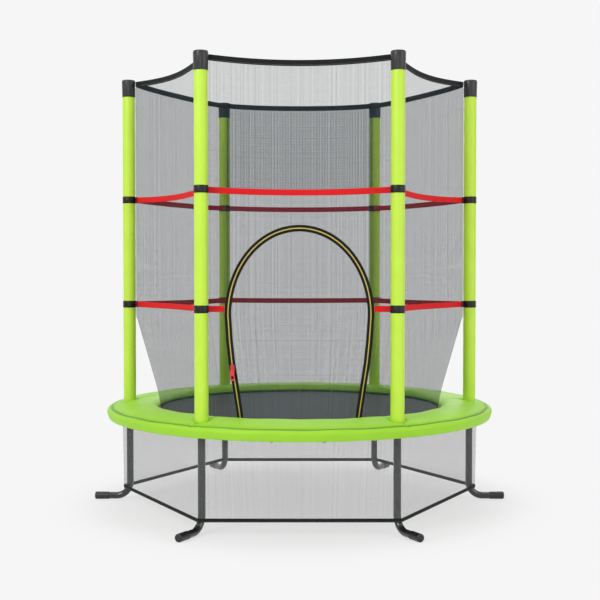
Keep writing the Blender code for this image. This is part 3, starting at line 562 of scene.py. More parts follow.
@dataclass(frozen=True)
class Finish:
    """A named material; each kind of finish draws its own graph."""

    name: str
    colour: Colour

    def draw(self, graph: Graph) -> None:
        """Set the shader of this finish."""
        raise NotImplementedError

    def surface(self, graph: Graph) -> bpy.types.NodeSocket:
        """What the output shows: the shader alone."""
        return graph.shader.outputs["BSDF"]

    def tones(self, graph: Graph, share: Number, dark: float, light: float) -> Wire:
        """The finish's colour, from dark times as bright to light times, by a share."""
        ends = (tuple(min(1.0, part * factor) for part in self.colour) for factor in (dark, light))
        return graph.blend(share, *ends)

    def material(self) -> bpy.types.Material:
        """The material, drawn the first time that it is asked for."""
        known = bpy.data.materials.get(self.name)
        if known is None:
            known = bpy.data.materials.new(self.name)
            graph = Graph(known)
            graph.shader = graph.node("ShaderNodeBsdfPrincipled")
            self.draw(graph)
            graph.node("ShaderNodeOutputMaterial", inputs={"Surface": self.surface(graph)})
            known.diffuse_color = (*self.colour, 1.0)
        return known


@dataclass(frozen=True)
class FoamSkin(Finish):
    """Skinned foam: satin, a little blotchy, with fine pores and shallow dents."""

    def draw(self, graph: Graph) -> None:
        """Pores and dents tilt the surface; blotches change colour and gloss."""
        blotch = graph.noise(14.0, 3.0)
        graph.set(
            Base_Color=self.tones(graph, blotch, 0.93, 1.07),
            Roughness=0.34 + 0.16 * blotch,
            Specular_IOR_Level=0.5,
        )
        graph.bump(graph.noise(45.0) * 0.8 + graph.noise(900.0, 1.0) * 0.2, 0.0006, 0.5)


@dataclass(frozen=True)
class Vinyl(Finish):
    """Coated fabric: leather grain, soft wrinkles, painted shade in its ring seam, darker joints.
    """

    # The colour of the painted shade in the ring seam's crease; the joints darken to it too.
    seam: Colour = (0.10, 0.26, 0.015)
    ring_radius: float = 0.684
    ring_half: float = 0.0042
    joint_half: float = 0.0016

    def draw(self, graph: Graph) -> None:
        """The grain is fine noise and the wrinkles are wide noise.

        The ring seam's crease gets painted shade where the distance from the middle nears its
        radius. A joint, drawn darker, is where the angle, folded into one sector and times the
        radius, nears zero; it ends at the ring seam.
        """
        x, y, _ = graph.axes()
        grain = graph.noise(1100.0)
        wrinkle = graph.noise(26.0, 3.0)
        radius = graph.math("SQRT", x * x + y * y)
        turn = graph.math("ARCTAN2", y, x) / SECTOR
        from_joint = abs(graph.math("FRACT", turn + 6.5) - 0.5) * radius * SECTOR
        # Painted shade: the colour darkens in the crease along the ring seam.
        ring_crease_shade = 1.0 - abs(radius - self.ring_radius).above(self.ring_half, 0.003)
        joint = 1.0 - from_joint.above(self.joint_half, 0.0015)
        inside = 1.0 - radius.above(self.ring_radius, 0.002)
        # The mask of painted shade at the ring seam, together with the darker joints.
        seams = (ring_crease_shade * 0.75).larger(joint * inside * 0.6)
        skin = self.tones(graph, graph.noise(7.0, 3.0), 0.92, 1.08)
        graph.set(
            Base_Color=graph.blend(seams, skin, self.seam),
            Roughness=0.42 + 0.14 * grain,
            Specular_IOR_Level=0.25,
            Coat_Weight=0.04,
            Coat_Roughness=0.3,
        )
        graph.bump(wrinkle * 0.9 + grain * 0.1, 0.0016, 0.45)


@dataclass(frozen=True)
class Plastic(Finish):
    """Moulded plastic or rubber with a spark-eroded grain."""

    roughness: float = 0.42
    gloss: float = 0.5

    def draw(self, graph: Graph) -> None:
        """The grain tilts the surface and dulls it."""
        grain = graph.noise(1500.0)
        graph.set(
            Base_Color=self.tones(graph, graph.noise(40.0), 0.85, 1.2),
            Roughness=self.roughness + 0.16 * (grain - 0.5),
            Specular_IOR_Level=self.gloss,
        )
        graph.bump(grain, 0.00025, 0.5)


@dataclass(frozen=True)
class Enamel(Finish):
    """Stoved paint on steel: glossy, with a faint orange peel."""

    roughness: float

    def draw(self, graph: Graph) -> None:
        """Wide noise dulls the gloss in places, and fine noise is the peel."""
        dull = graph.noise(30.0, 3.0)
        graph.set(
            Base_Color=self.tones(graph, dull, 0.8, 1.3),
            Roughness=self.roughness + 0.12 * dull,
            Coat_Weight=0.5,
            Coat_Roughness=0.08,
        )
        graph.bump(graph.noise(350.0), 0.0003, 0.25)


@dataclass(frozen=True)
class Zinc(Finish):
    """Galvanised steel with a faint spangle."""

    def draw(self, graph: Graph) -> None:
        """Each cell of a Voronoi pattern is a crystal with its own grey and gloss."""
        inputs = {"Vector": graph.place(), "Scale": 160.0}
        crystal = graph.node("ShaderNodeTexVoronoi", inputs=inputs).outputs["Color"]
        split = graph.node("ShaderNodeSeparateColor", inputs={"Color": crystal})
        share = Wire(graph, split.outputs[0])
        graph.set(
            Base_Color=self.tones(graph, share, 0.86, 1.08),
            Roughness=0.28 + 0.14 * share,
            Metallic=1.0,
        )
        graph.bump(graph.noise(500.0), 0.0002, 0.2)


@dataclass(frozen=True)
class Webbing(Finish):
    """Woven tape: ribs of yarn along it, crossed by a fine weft, on its cloth places."""

    rib: float = 0.0016
    weft: float = 0.0011
    roughness: float = 0.62

    def draw(self, graph: Graph) -> None:
        """A plain weave: the ribs and the weft swap over and under from row to row."""
        along, across = graph.cloth()
        warp = graph.wave(across, self.rib)
        weft = graph.wave(along, self.weft)
        weave = abs(warp) * 0.55 + (warp * weft) * 0.25 + 0.3
        fade = graph.noise(18.0, 3.0)
        graph.set(
            Base_Color=self.tones(graph, weave * 0.7 + fade * 0.3, 0.72, 1.15),
            Roughness=self.roughness + 0.15 * fade,
            Specular_IOR_Level=0.25,
        )
        graph.bump(weave, 0.0005, 0.5)


@dataclass(frozen=True)
class Elastic(Finish):
    """Shiny covered elastic: fine ribs round it and gathered across."""

    rib: float = 0.0012

    def draw(self, graph: Graph) -> None:
        """A sine wave across it for the ribs, and a random gather along it."""
        along, across = graph.cloth()
        ribs = graph.wave(across, self.rib / 2)
        gather = graph.streaks(along, 900.0)
        graph.set(
            Base_Color=self.tones(graph, gather, 0.7, 1.4),
            Roughness=0.16 + 0.16 * gather,
            Specular_IOR_Level=0.3,
        )
        graph.bump(ribs * 0.3 + gather * 0.7, 0.0003, 0.4)


@dataclass(frozen=True)
class WovenMat(Finish):
    """Flat plastic yarn in a tight plain weave."""

    yarn: float = 0.0024

    def draw(self, graph: Graph) -> None:
        """Where the two sine waves have one sign the warp is on top, else the weft."""
        x, y, _ = graph.axes()
        warp = graph.wave(x, self.yarn)
        weft = graph.wave(y, self.yarn)
        crown = (warp * weft).above(0.0, 0.35)
        tread = graph.noise(5.0, 4.0)
        graph.set(
            Base_Color=self.tones(graph, crown * 0.5 + tread * 0.5, 0.75, 1.2),
            Roughness=0.5 + 0.2 * crown,
            Specular_IOR_Level=0.15,
        )
        graph.bump(crown * 0.5 + abs(warp) * 0.25 + abs(weft) * 0.25, 0.0005, 0.5)


@dataclass(frozen=True)
class Braid(Finish):
    """The woven cover of an elastic cord, with flecks of a second colour."""

    fleck: Colour = (0.02, 0.02, 0.02)

    def draw(self, graph: Graph) -> None:
        """Two sets of slanting yarns, which cross like a lattice on the cord."""
        along, across = graph.cloth()
        left = graph.math("SINE", along * 1600.0 + across * 1000.0)
        right = graph.math("SINE", along * 1600.0 - across * 1000.0)
        flecks = (left * right).above(0.8, 0.1)
        graph.set(Base_Color=graph.blend(flecks, self.colour, self.fleck), Roughness=0.75)
        graph.bump(left.larger(right), 0.0004, 0.6)


@dataclass(frozen=True)
class KnitNet(Finish):
    """Knitted net: threads up and across with open holes between them.

    cover is the thread's share of a hole's width, and haze is what the finer yarn inside
    a hole covers. streak thickens some threads, which shows as faint upright lines from
    afar, and cross is its share for the level threads. Below bound_below the net is
    folded double and sewn. Above double_above it has a second, coarser layer behind
    it, which covers second_haze of a hole and has a rib every second_pitch both ways.
    """

    hole: float = 0.0021
    cover: float = 0.11
    haze: float = 0.19
    streak: float = 0.34
    cross: float = 0.3
    bound_below: float = 0.0
    bound_cover: float = 0.55
    double_above: float = 10.0
    second_haze: float = 0.195
    second_ribs: Tuple[float, float] = (0.085, 0.05)
    second_pitch: float = 0.0116
    streak_scale: float = 130.0
    uneven: float = 0.4
    uneven_scale: float = 230.0

    def draw(self, graph: Graph) -> None:
        """A thread is where the distance to the middle of a hole is large.

        Random values move the threads by part of a hole, so that the spacing is as
        uneven as in real knitting.
        """
        x, z = graph.cloth()
        upright, level = (
            graph.edge(place, self.second_pitch).above(0.62, 0.3) * strength
            for place, strength in zip((x, z), self.second_ribs)
        )
        second = upright + level + self.second_haze
        second = z.above(self.double_above, 0.003) * second
        lines = []
        for place, share in ((x, 1.0), (z, self.cross)):
            swing = (graph.streaks(place, self.streak_scale) - 0.5) * (self.streak * share)
            shift = (graph.streaks(place, self.uneven_scale) - 0.5) * (self.uneven * self.hole)
            edge = graph.edge(place + shift, self.hole)
            lines.append(edge.above(1.0 - self.cover - swing, 0.1))
        bound = (self.bound_below - z).above(0.0, 0.0006) * self.bound_cover
        graph.set(
            Base_Color=self.tones(graph, graph.noise(9.0), 0.85, 1.15),
            Roughness=0.7,
            Specular_IOR_Level=0.2,
            Alpha=lines[0].larger(lines[1]).larger(bound).larger(second + self.haze),
        )


@dataclass(frozen=True)
class FloorPaint(Finish):
    """Pale paint that holds a light shadow near the object and fades into the backdrop.

    The camera, reflections and glass see a plain glow mixed in; all other light meets
    the paint alone. The glow's share eases from near_share to 1 with the distance from
    the middle.
    """

    glow: Colour
    near_share: float = 0.68
    fade_start: float = 0.72
    fade_end: float = 0.98

    def draw(self, graph: Graph) -> None:
        """Plain matt paint."""
        graph.set(Roughness=0.9, Specular_IOR_Level=0.0, Base_Color=self.colour)

    def surface(self, graph: Graph) -> bpy.types.NodeSocket:
        """The paint with its glow."""
        x, y, _ = graph.axes()
        reach = graph.math("SQRT", x * x + y * y)
        limits = {"From Min": self.fade_start, "From Max": self.fade_end, "To Min": self.near_share}
        ease = {"interpolation_type": "SMOOTHSTEP"}
        share = graph.node("ShaderNodeMapRange", ease, {"Value": reach, **limits})
        glow = graph.node("ShaderNodeEmission", inputs={"Color": self.glow, "Strength": 1.0})
        seen = graph.seen() * Wire(graph, share.outputs["Result"])
        return graph.mixed(seen, super().surface(graph), glow.outputs["Emission"])


BACKDROP = (0.922, 0.922, 0.922)
LIME_FOAM = FoamSkin("lime_foam", (0.53, 0.80, 0.05))
GREEN_VINYL = Vinyl("green_vinyl", (0.33, 0.66, 0.03))
CAP_PLASTIC = Plastic("cap_plastic", (0.030, 0.030, 0.032), 0.27, 0.34)
FOOT_RUBBER = Plastic("foot_rubber", (0.012, 0.012, 0.013), 0.3)
BLACK_ENAMEL = Enamel("black_enamel", (0.008, 0.008, 0.009), 0.07)
RED_ENAMEL = Enamel("red_enamel", (0.70, 0.02, 0.03), 0.28)
ZINC_STEEL = Zinc("zinc_steel", (0.55, 0.56, 0.57))
RED_WEBBING = Webbing("red_webbing", (0.71, 0.007, 0.010))
BLACK_TAPE = Webbing("black_tape", (0.007, 0.009, 0.009), 0.0012, 0.0009, 0.7)
ZIP_TAPE = Webbing("zip_tape", (0.008, 0.009, 0.005), 0.0011, 0.0009, 0.75)
ZIP_NYLON = Plastic("zip_nylon", (0.72, 0.54, 0.13), 0.38)
BLACK_ELASTIC = Elastic("black_elastic", (0.006, 0.006, 0.007))
GREY_MAT = WovenMat("grey_mat", (0.050, 0.056, 0.062))
WHITE_BRAID = Braid("white_braid", (0.60, 0.60, 0.57))
GREY_NET = KnitNet("grey_net", (0.010, 0.028, 0.040), bound_below=0.352)
BACK_NET = KnitNet(
    "back_net", (0.010, 0.028, 0.040), cross=0.5, bound_below=0.352, double_above=1.188
)
PALE_NET = KnitNet("pale_net", (0.20, 0.205, 0.21), 0.0023, 0.09, 0.13, 0.2)
GREEN_THREAD = Plastic("green_thread", (0.12, 0.30, 0.03), 0.6)
GREY_THREAD = Plastic("grey_thread", (0.30, 0.31, 0.32), 0.6)
RED_THREAD = Plastic("red_thread", (0.45, 0.01, 0.01), 0.6)
FLOOR_PAINT = FloorPaint("floor_paint", (0.90, 0.90, 0.90), BACKDROP)


# ---- shared shapes ---------------------------------------------------------------------


def settle(
    made: bpy.types.Object, body: str, nodes: Sequence[str] = ()
) -> bpy.types.Object:
    """Let a piece ride on its body and stand for its nodes."""
    if body:
        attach(made, body)
    if nodes:
        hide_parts(*nodes)
    return made


@dataclass(frozen=True)
class Stitch:
    """A kind of sewing: from stitch to stitch, a stitch's length, and the thread's width."""

    pitch: float
    length: float
    width: float

    def row(self, path: Array, out: Array) -> Patch:
        """Short low ridges along a path, on a surface that faces out.

        Each stitch is three rings of four points: its two ends dip to the surface and
        its middle stands proud.
        """
        travelled = run_length(path)
        middles = np.arange(self.pitch / 2, travelled[-1], self.pitch)
        centre, lift = (read_off(values, travelled, middles) for values in (path, unit(out)))
        lift = unit(lift)
        ends = (read_off(path, travelled, middles + s * self.length / 2) for s in (1, -1))
        along = unit(np.subtract(*ends))
        side = np.cross(along, lift)
        corners = []
        for share, rise, size in ((-0.5, -0.1, 0.45), (0.0, 0.35, 1.0), (0.5, -0.1, 0.45)):
            core = centre + along * (share * self.length) + lift * (rise * self.width)
            for angle in np.arange(4) * QUARTER:
                spoke = side * math.cos(angle) + lift * (0.7 * math.sin(angle))
                corners.append(core + spoke * (size * self.width / 2))
        return blocks(corners)

    def circles(self, places: Sequence[Tuple[float, float]], steps: int) -> Patch:
        """Level rows round the Z axis at some (radius, height) places."""
        angle = np.linspace(0.0, math.tau, steps)
        paths = [around_z(radius, angle, height) for radius, height in places]
        return together([self.row(path, fixed(UP, path)) for path in paths])


HEM_STITCH = Stitch(0.006, 0.0042, 0.0008)
BAND_STITCH = Stitch(0.0045, 0.003, 0.0006)
PAD_STITCH = Stitch(0.0065, 0.0048, 0.0009)
MAT_STITCH = Stitch(0.0055, 0.004, 0.0008)


@dataclass
class Post:
    """Where the posts stand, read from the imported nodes."""

    radius: float = field(init=False)
    top: float = field(init=False)
    sleeve_low: float = field(init=False)
    sleeve_top: float = field(init=False)
    sleeve_radius: float = 0.0225

    def __post_init__(self) -> None:
        """Read the first post's pole, cap and sleeve."""
        low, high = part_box("pole_right")
        self.radius = (low.x + high.x) / 2
        self.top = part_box("pole_cap_right")[1].z
        low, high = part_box("foam_sleeve_right")
        self.sleeve_low, self.sleeve_top = low.z, high.z


# ---- steel frame -----------------------------------------------------------------------


@dataclass
class SteelFrame:
    """Legs, foot caps, the hidden rail and the poles."""

    post: Post
    tube_radius: float = 0.0125
    bore_radius: float = 0.0113
    plug_radius: float = 0.0110
    plug_reach: float = 0.045
    leg_top: float = 0.3117
    bend_radius: float = 0.050
    bend_steps: int = 18
    foot_height: float = 0.013125
    foot_end: float = 0.7547
    cap_radius: float = 0.0138
    cap_length: float = 0.052
    cap_nose: float = 0.005
    cap_tip: float = 0.758
    grips: Tuple[float, float] = (0.009, 0.016)
    grip_depth: float = 0.0006
    grip_width: float = 0.0011
    bevel: float = 0.0006
    weld_radius: float = 0.0019
    weld_lump: float = 0.0005
    rail_height: float = 0.3285
    rail_steps: int = 6
    collar_radius: float = 0.0155
    collar_half: float = 0.0165

    def hollow(self, path: Array, across: Array, out: Array, sides: int) -> Patch:
        """A length of the frame's steel tube."""
        return pipe(path, across, out, self.tube_radius, self.bore_radius, sides)

    def leg(self) -> Patch:
        """Straight down, a quarter circle outwards, straight to the tip, along +X."""
        bend, turn = self.bend_radius, np.linspace(0.0, QUARTER, self.bend_steps + 1)
        centre = (self.post.radius + bend, 0.0, self.foot_height + bend)
        arc = sweep(centre, (-bend, 0.0, 0.0), (0.0, 0.0, -bend), turn)
        head, tip = (self.post.radius, 0.0, self.leg_top), (self.foot_end, 0.0, self.foot_height)
        path = np.vstack([head, arc, tip])
        tangent = path_tangents(path, False)
        tangent[1], tangent[-2] = (0.0, 0.0, -1.0), ALONG_X
        across = fixed(ALONG_Y, path)
        return self.hollow(path, across, np.cross(across, tangent), 32)

    def foot_cap(self) -> Patch:
        """A cup with two grip grooves and a round nose, pressed flat where it stands."""
        nose, length, radius = self.cap_nose, self.cap_length, self.cap_radius
        along = np.linspace(0.0015, length - nose, 50)
        groove = sum(np.exp(-(((along - grip) / self.grip_width) ** 2)) for grip in self.grips)
        wall = np.stack([radius - self.grip_depth * groove, along], axis=-1)
        turn = np.linspace(0.0, QUARTER, 7)
        rounding = sweep((radius - nose, length - nose), (nose, 0.0), (0.0, nose), turn)
        bore, floor = self.tube_radius + GAP, self.foot_end + GAP - self.cap_tip + length
        mouth = [[bore, floor], [bore, 0.0], [radius - self.grip_depth, 0.0]]
        cup = turned(np.vstack([mouth, wall, rounding, [[0.0, length], [0.0, floor]]]), 40)
        x, y, z = cup.points.T
        height = np.maximum(self.foot_height - x, 0.0)
        cup.points = np.stack([z + (self.cap_tip - length), y, height], axis=-1)
        return cup

    def collar(self) -> Patch:
        """A short thick cylinder with a stub down into the leg and one up into the pole."""
        wide, narrow, bevel = self.collar_radius, self.plug_radius, self.bevel
        step, tip = self.collar_half, self.collar_half + self.plug_reach
        upper = np.array(
            [(wide, step - bevel), (wide - bevel, step), (narrow, step),
             (narrow, tip - bevel), (narrow - bevel, tip), (0.0, tip)]
        )
        outline = np.vstack([upper[::-1] * (1.0, -1.0), upper]) + (0.0, self.rail_height)
        return turned(outline, 40).moved((self.post.radius, 0.0, 0.0))

    def bead(self, start: Array, along: Array) -> Patch:
        """A lumpy weld bead round a tube's foot: its radius swings with nine waves."""
        lumps = np.arange(36) / 36 * math.tau
        radius = (self.tube_radius + 0.0006 + self.weld_lump * np.sin(lumps * 9))[:, None]
        path = sweep(start + along * 0.0012, np.cross(along, UP) * radius, UP * radius, lumps)
        return tube(path, self.weld_radius, 8, closed=True)

    def rail(self) -> Patch:
        """A tube on the round line to the next post, its collar, a weld, and a plug behind it."""
        radius, collar = self.post.radius, self.collar_radius
        ends = (
            (collar * 0.9, radius * SECTOR - collar - GAP),
            (-0.5 * collar, -collar - self.plug_reach),
        )
        bar, plug = (
            around_z(radius, np.linspace(*stops, steps) / radius, self.rail_height)
            for stops, steps in zip(ends, (49, 6))
        )
        tangent, up = path_tangents(bar, False), fixed(UP, bar)
        wall, bead = self.hollow(bar, np.cross(tangent, up), up, 28), self.bead(bar[0], tangent[0])
        return together([wall, self.collar(), bead, tube(plug, self.plug_radius, 24)])

    def pole(self) -> Patch:
        """A straight tube from the collar up into the cap."""
        path = np.array([(self.post.radius, 0.0, end.z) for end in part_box("pole_right")])
        return self.hollow(path, fixed(ALONG_X, path), fixed(ALONG_Y, path), 32)

    def build(self) -> None:
        """Make the steel of each corner."""
        kinds = (
            (self.leg(), "leg", "leg", BLACK_ENAMEL),
            (self.foot_cap(), "foot_cap", "foot_cap", FOOT_RUBBER),
            (self.rail(), "rail_tube", "steel", ZINC_STEEL),
            (self.pole(), "pole", "steel", ZINC_STEEL),
        )
        for corner in Corner:
            for patch, word, slot, finish in kinds:
                made = piece(f"{word}_skin_{corner.label}", patch.turned(corner.angle), finish)
                settle(made, "frame", [f"{word}_{corner.label}"])


# ---- posts -----------------------------------------------------------------------------


@dataclass
class FoamPosts:
    """The foam sleeves and the plastic caps on top of the poles."""

    post: Post
    pole_radius: float = 0.0125
    sleeve_rounding: float = 0.0025
    swell: float = 0.00015
    cap_height: float = 0.058
    cap_lip: float = 0.0045
    cap_top_radius: float = 0.0250
    cap_foot_radius: float = 0.0237
    cap_roof: float = 0.0147
    rim_width: float = 0.0034
    rim_height: float = 0.0057
    lug_height: float = 0.014
    lug_width: float = 0.012
    hem_radius: float = 0.6013
    hem_height: float = 1.530

    def sleeve(self, seed: int) -> Patch:
        """A foam tube with round ends and a wall that swells by up to 0.3 mm here and there."""
        low, top = self.post.sleeve_low, self.post.sleeve_top
        radius, soft = self.post.sleeve_radius, self.sleeve_rounding
        bore = self.pole_radius + GAP
        turn = np.linspace(0.0, QUARTER, 6)
        foot = sweep((radius - soft, low + soft), (0.0, -soft), (soft, 0.0), turn)
        head = sweep((radius - soft, top - soft), (soft, 0.0), (0.0, soft), turn)
        height = np.linspace(low + soft, top - soft, 90)[1:-1]
        wall = np.stack([0 * height + radius, height], -1)
        sleeve = turned(np.vstack([[bore, low], foot, wall, head, [bore, top]]), 40)
        x, y, z = sleeve.points.T
        angle = np.arctan2(y, x)
        swell = np.sin(z * 31 + seed) * np.sin(angle * 2 + seed * 1.7)
        swell = swell + np.sin(z * 77 + angle + seed * 2.3)
        sleeve.points[:, :2] *= (1.0 + self.swell * swell / radius)[:, None]
        return sleeve.moved((self.post.radius, 0.0, 0.0))

    def cap(self) -> Patch:
        """A cup that widens upwards to a rim rounded as a quarter ellipse, with a lug.

        Its thin lip reaches down over the head of the sleeve.
        """
        top, wide, narrow = self.post.top, self.cap_top_radius, self.cap_foot_radius
        foot, roof = top - self.cap_height, top - self.cap_roof
        lip, over_sleeve = foot - self.cap_lip, self.post.sleeve_radius + GAP
        bore = self.pole_radius + GAP
        turn = np.linspace(0.0, QUARTER, 9)
        centre = (wide - self.rim_width, top - self.rim_height - GAP)
        rim = sweep(centre, (self.rim_width, 0.0), (0.0, self.rim_height), turn)
        mouth = [[bore, foot], [over_sleeve, foot], [over_sleeve, lip], [narrow - 0.0003, lip]]
        lid = [[wide - 0.008, top], [0.0, top], [0.0, roof], [bore, roof]]
        outline = np.vstack([*mouth, [narrow, lip + 0.0006], rim, *lid])
        cup = turned(outline, 48).moved((self.post.radius, 0.0, 0.0))
        reach = np.linspace(self.hem_radius + 0.0022, self.post.radius - narrow * 0.8, 4)
        path = around_z(reach, 0.0, self.hem_height)
        outline = slab(self.lug_width, self.lug_height, 0.002)
        return together([cup, carried(outline, path, fixed(ALONG_Y, path), fixed(UP, path))])

    def build(self) -> None:
        """Make the sleeve and the cap of each corner."""
        cap = self.cap()
        for corner in Corner:
            word, sleeve = corner.label, self.sleeve(corner.value).turned(corner.angle)
            made = piece(f"sleeve_skin_{word}", sleeve, LIME_FOAM)
            settle(made, "frame", [f"foam_sleeve_{word}"])
            made = piece(f"cap_skin_{word}", cap.turned(corner.angle), CAP_PLASTIC)
            settle(made, "frame", [f"pole_cap_{word}"])


# ---- cloth -----------------------------------------------------------------------------


@dataclass(frozen=True)
class SideShape:
    """Where the flat places of a side's cloth lie."""

    corner_radius: float

    @property
    def half(self) -> float:
        """Half of a side's straight width."""
        return self.corner_radius * math.sin(SECTOR / 2)

    @property
    def apothem(self) -> float:
        """From the middle to a side's straight chord."""
        return self.corner_radius * math.cos(SECTOR / 2)

    def place(self, x: Array, z: Array) -> Array:
        """The points of flat places, on the side that faces +X."""
        raise NotImplementedError


@dataclass(frozen=True)
class NetShape(SideShape):
    """The enclosure's net.

    With u = x / half and bulge = 1 - u^2: above the knee the side bows inwards by
    bow * bulge^bow_power and hangs down by up to sag * bulge. Below the knee it goes in
    straight lines to an arc of the round foot, and the knee itself is rounded off. Past
    a corner, |x| > half, the cloth stands out straight from the middle: the seam's edge.
    """

    corner_radius: float = 0.6005
    bow: float = 0.030
    bow_power: float = 1.0
    sag: float = 0.014
    foot_radius: float = 0.507
    foot_z: float = 0.343
    knee_z: float = 0.670
    hem_z: float = 1.530
    knee_softness: float = 0.03

    def place(self, x: Array, z: Array) -> Array:
        """The points of flat places, on the side that faces +X."""
        flat, z = np.broadcast_arrays(np.asarray(x, float), np.asarray(z, float))
        x = np.clip(flat, -self.half, self.half)
        u, past = x / self.half, flat - x
        bulge = 1.0 - u * u
        below = (self.knee_z - z) / (self.knee_z - self.foot_z)
        drop = 0.5 * (below + np.sqrt(below * below + self.knee_softness**2))
        rise = np.maximum(0.0, (z - self.knee_z) / (self.hem_z - self.knee_z))
        bowed = self.apothem - self.bow * np.maximum(bulge, 0.0) ** self.bow_power
        foot = around_z(self.foot_radius, SECTOR / 2 * u, z)
        outwards = bowed * (1 - drop) + foot[..., 0] * drop + np.abs(past) * math.cos(SECTOR / 2)
        sideways = x * (1 - drop) + foot[..., 1] * drop + past * math.sin(SECTOR / 2)
        return np.stack([outwards, sideways, z - self.sag * bulge * rise], axis=-1)

    def outward(self, x: Array, z: Array) -> Array:
        """The outward unit normals of flat places: (step along x) x (step along z)."""
        step = 0.0005
        along = self.place(x + step, z) - self.place(x - step, z)
        above = self.place(x, z + step) - self.place(x, z - step)
        return unit(np.cross(along, above))


NET_SHAPES: Dict[Side, NetShape] = {
    side: NetShape() if side is Side.FRONT else NetShape(bow=0.022, bow_power=2.0) for side in Side
}


@dataclass(frozen=True)
class SkirtShape(SideShape):
    """The skirt: straight between the legs below, a round arc above."""

    corner_radius: float = 0.651
    top_radius: float = 0.656
    hem_z: float = 0.048
    top_z: float = 0.350

    def place(self, x: Array, z: Array) -> Array:
        """The points of flat places, on the side that faces +X."""
        x, z = np.broadcast_arrays(np.asarray(x, float), np.asarray(z, float))
        rise = ((z - self.hem_z) / (self.top_z - self.hem_z))[..., None]
        low = np.stack([0 * x + self.apothem, x, z], axis=-1)
        return low * (1 - rise) + around_z(self.top_radius, SECTOR / 2 * x / self.half, z) * rise


@dataclass(frozen=True)
class Doorway:
    """The zip's line on the front side, in flat places.

    From its foot it leans outwards, stands upright, and closes in half an ellipse.
    """

    foot_half: float = 0.2212
    half: float = 0.2315
    foot_z: float = 0.3628
    lean_z: float = 0.545
    straight_z: float = 0.62
    arch_z: float = 0.700
    top_z: float = 0.989

    def line(self, steps: int = 80) -> Array:
        """(n, 2) places from the left foot over the arch to the right foot."""
        rise = self.top_z - self.arch_z
        turn = np.linspace(0.0, math.pi, 2 * steps + 1)
        arch = sweep((0.0, self.arch_z), (-self.half, 0.0), (0.0, rise), turn)
        lean = np.array([[-self.foot_half, self.foot_z], [-self.half, self.lean_z]])
        climb = np.linspace(0.0, 1.0, steps // 2)[:, None]
        left = np.vstack([lean[0] + (lean[1] - lean[0]) * climb, [[-self.half, self.straight_z]]])
        right = left[::-1] * [-1.0, 1.0]
        return np.vstack([left, arch, right])

    def beside(self, offset: float, steps: int = 80) -> Array:
        """The line moved outwards, along the normal in the sheet, by an offset."""
        line = self.line(steps)
        tangent = unit(np.gradient(line, axis=0))
        return line + offset * np.stack([-tangent[:, 1], tangent[:, 0]], -1)


def flat_area(points: Array) -> float:
    """The area of a grid of points: half the cross product of each cell's diagonals."""
    first = points[1:, 1:] - points[:-1, :-1]
    second = points[1:, :-1] - points[:-1, 1:]
    return float(np.linalg.norm(np.cross(first, second), axis=-1).sum() / 2)


def declare_sheet(
    made: bpy.types.Object, points: Array
) -> None:
    """Say how large the cut of a cloth grid is: its longest row and column, and its area."""
    width = float(run_length(points, 0)[-1].max())
    length = float(run_length(points, 1)[:, -1].max())
    area = min(flat_area(points), width * length)
    log.info("%s: flat %.3f x %.3f m, %.3f m2", made.name, width, length, area)


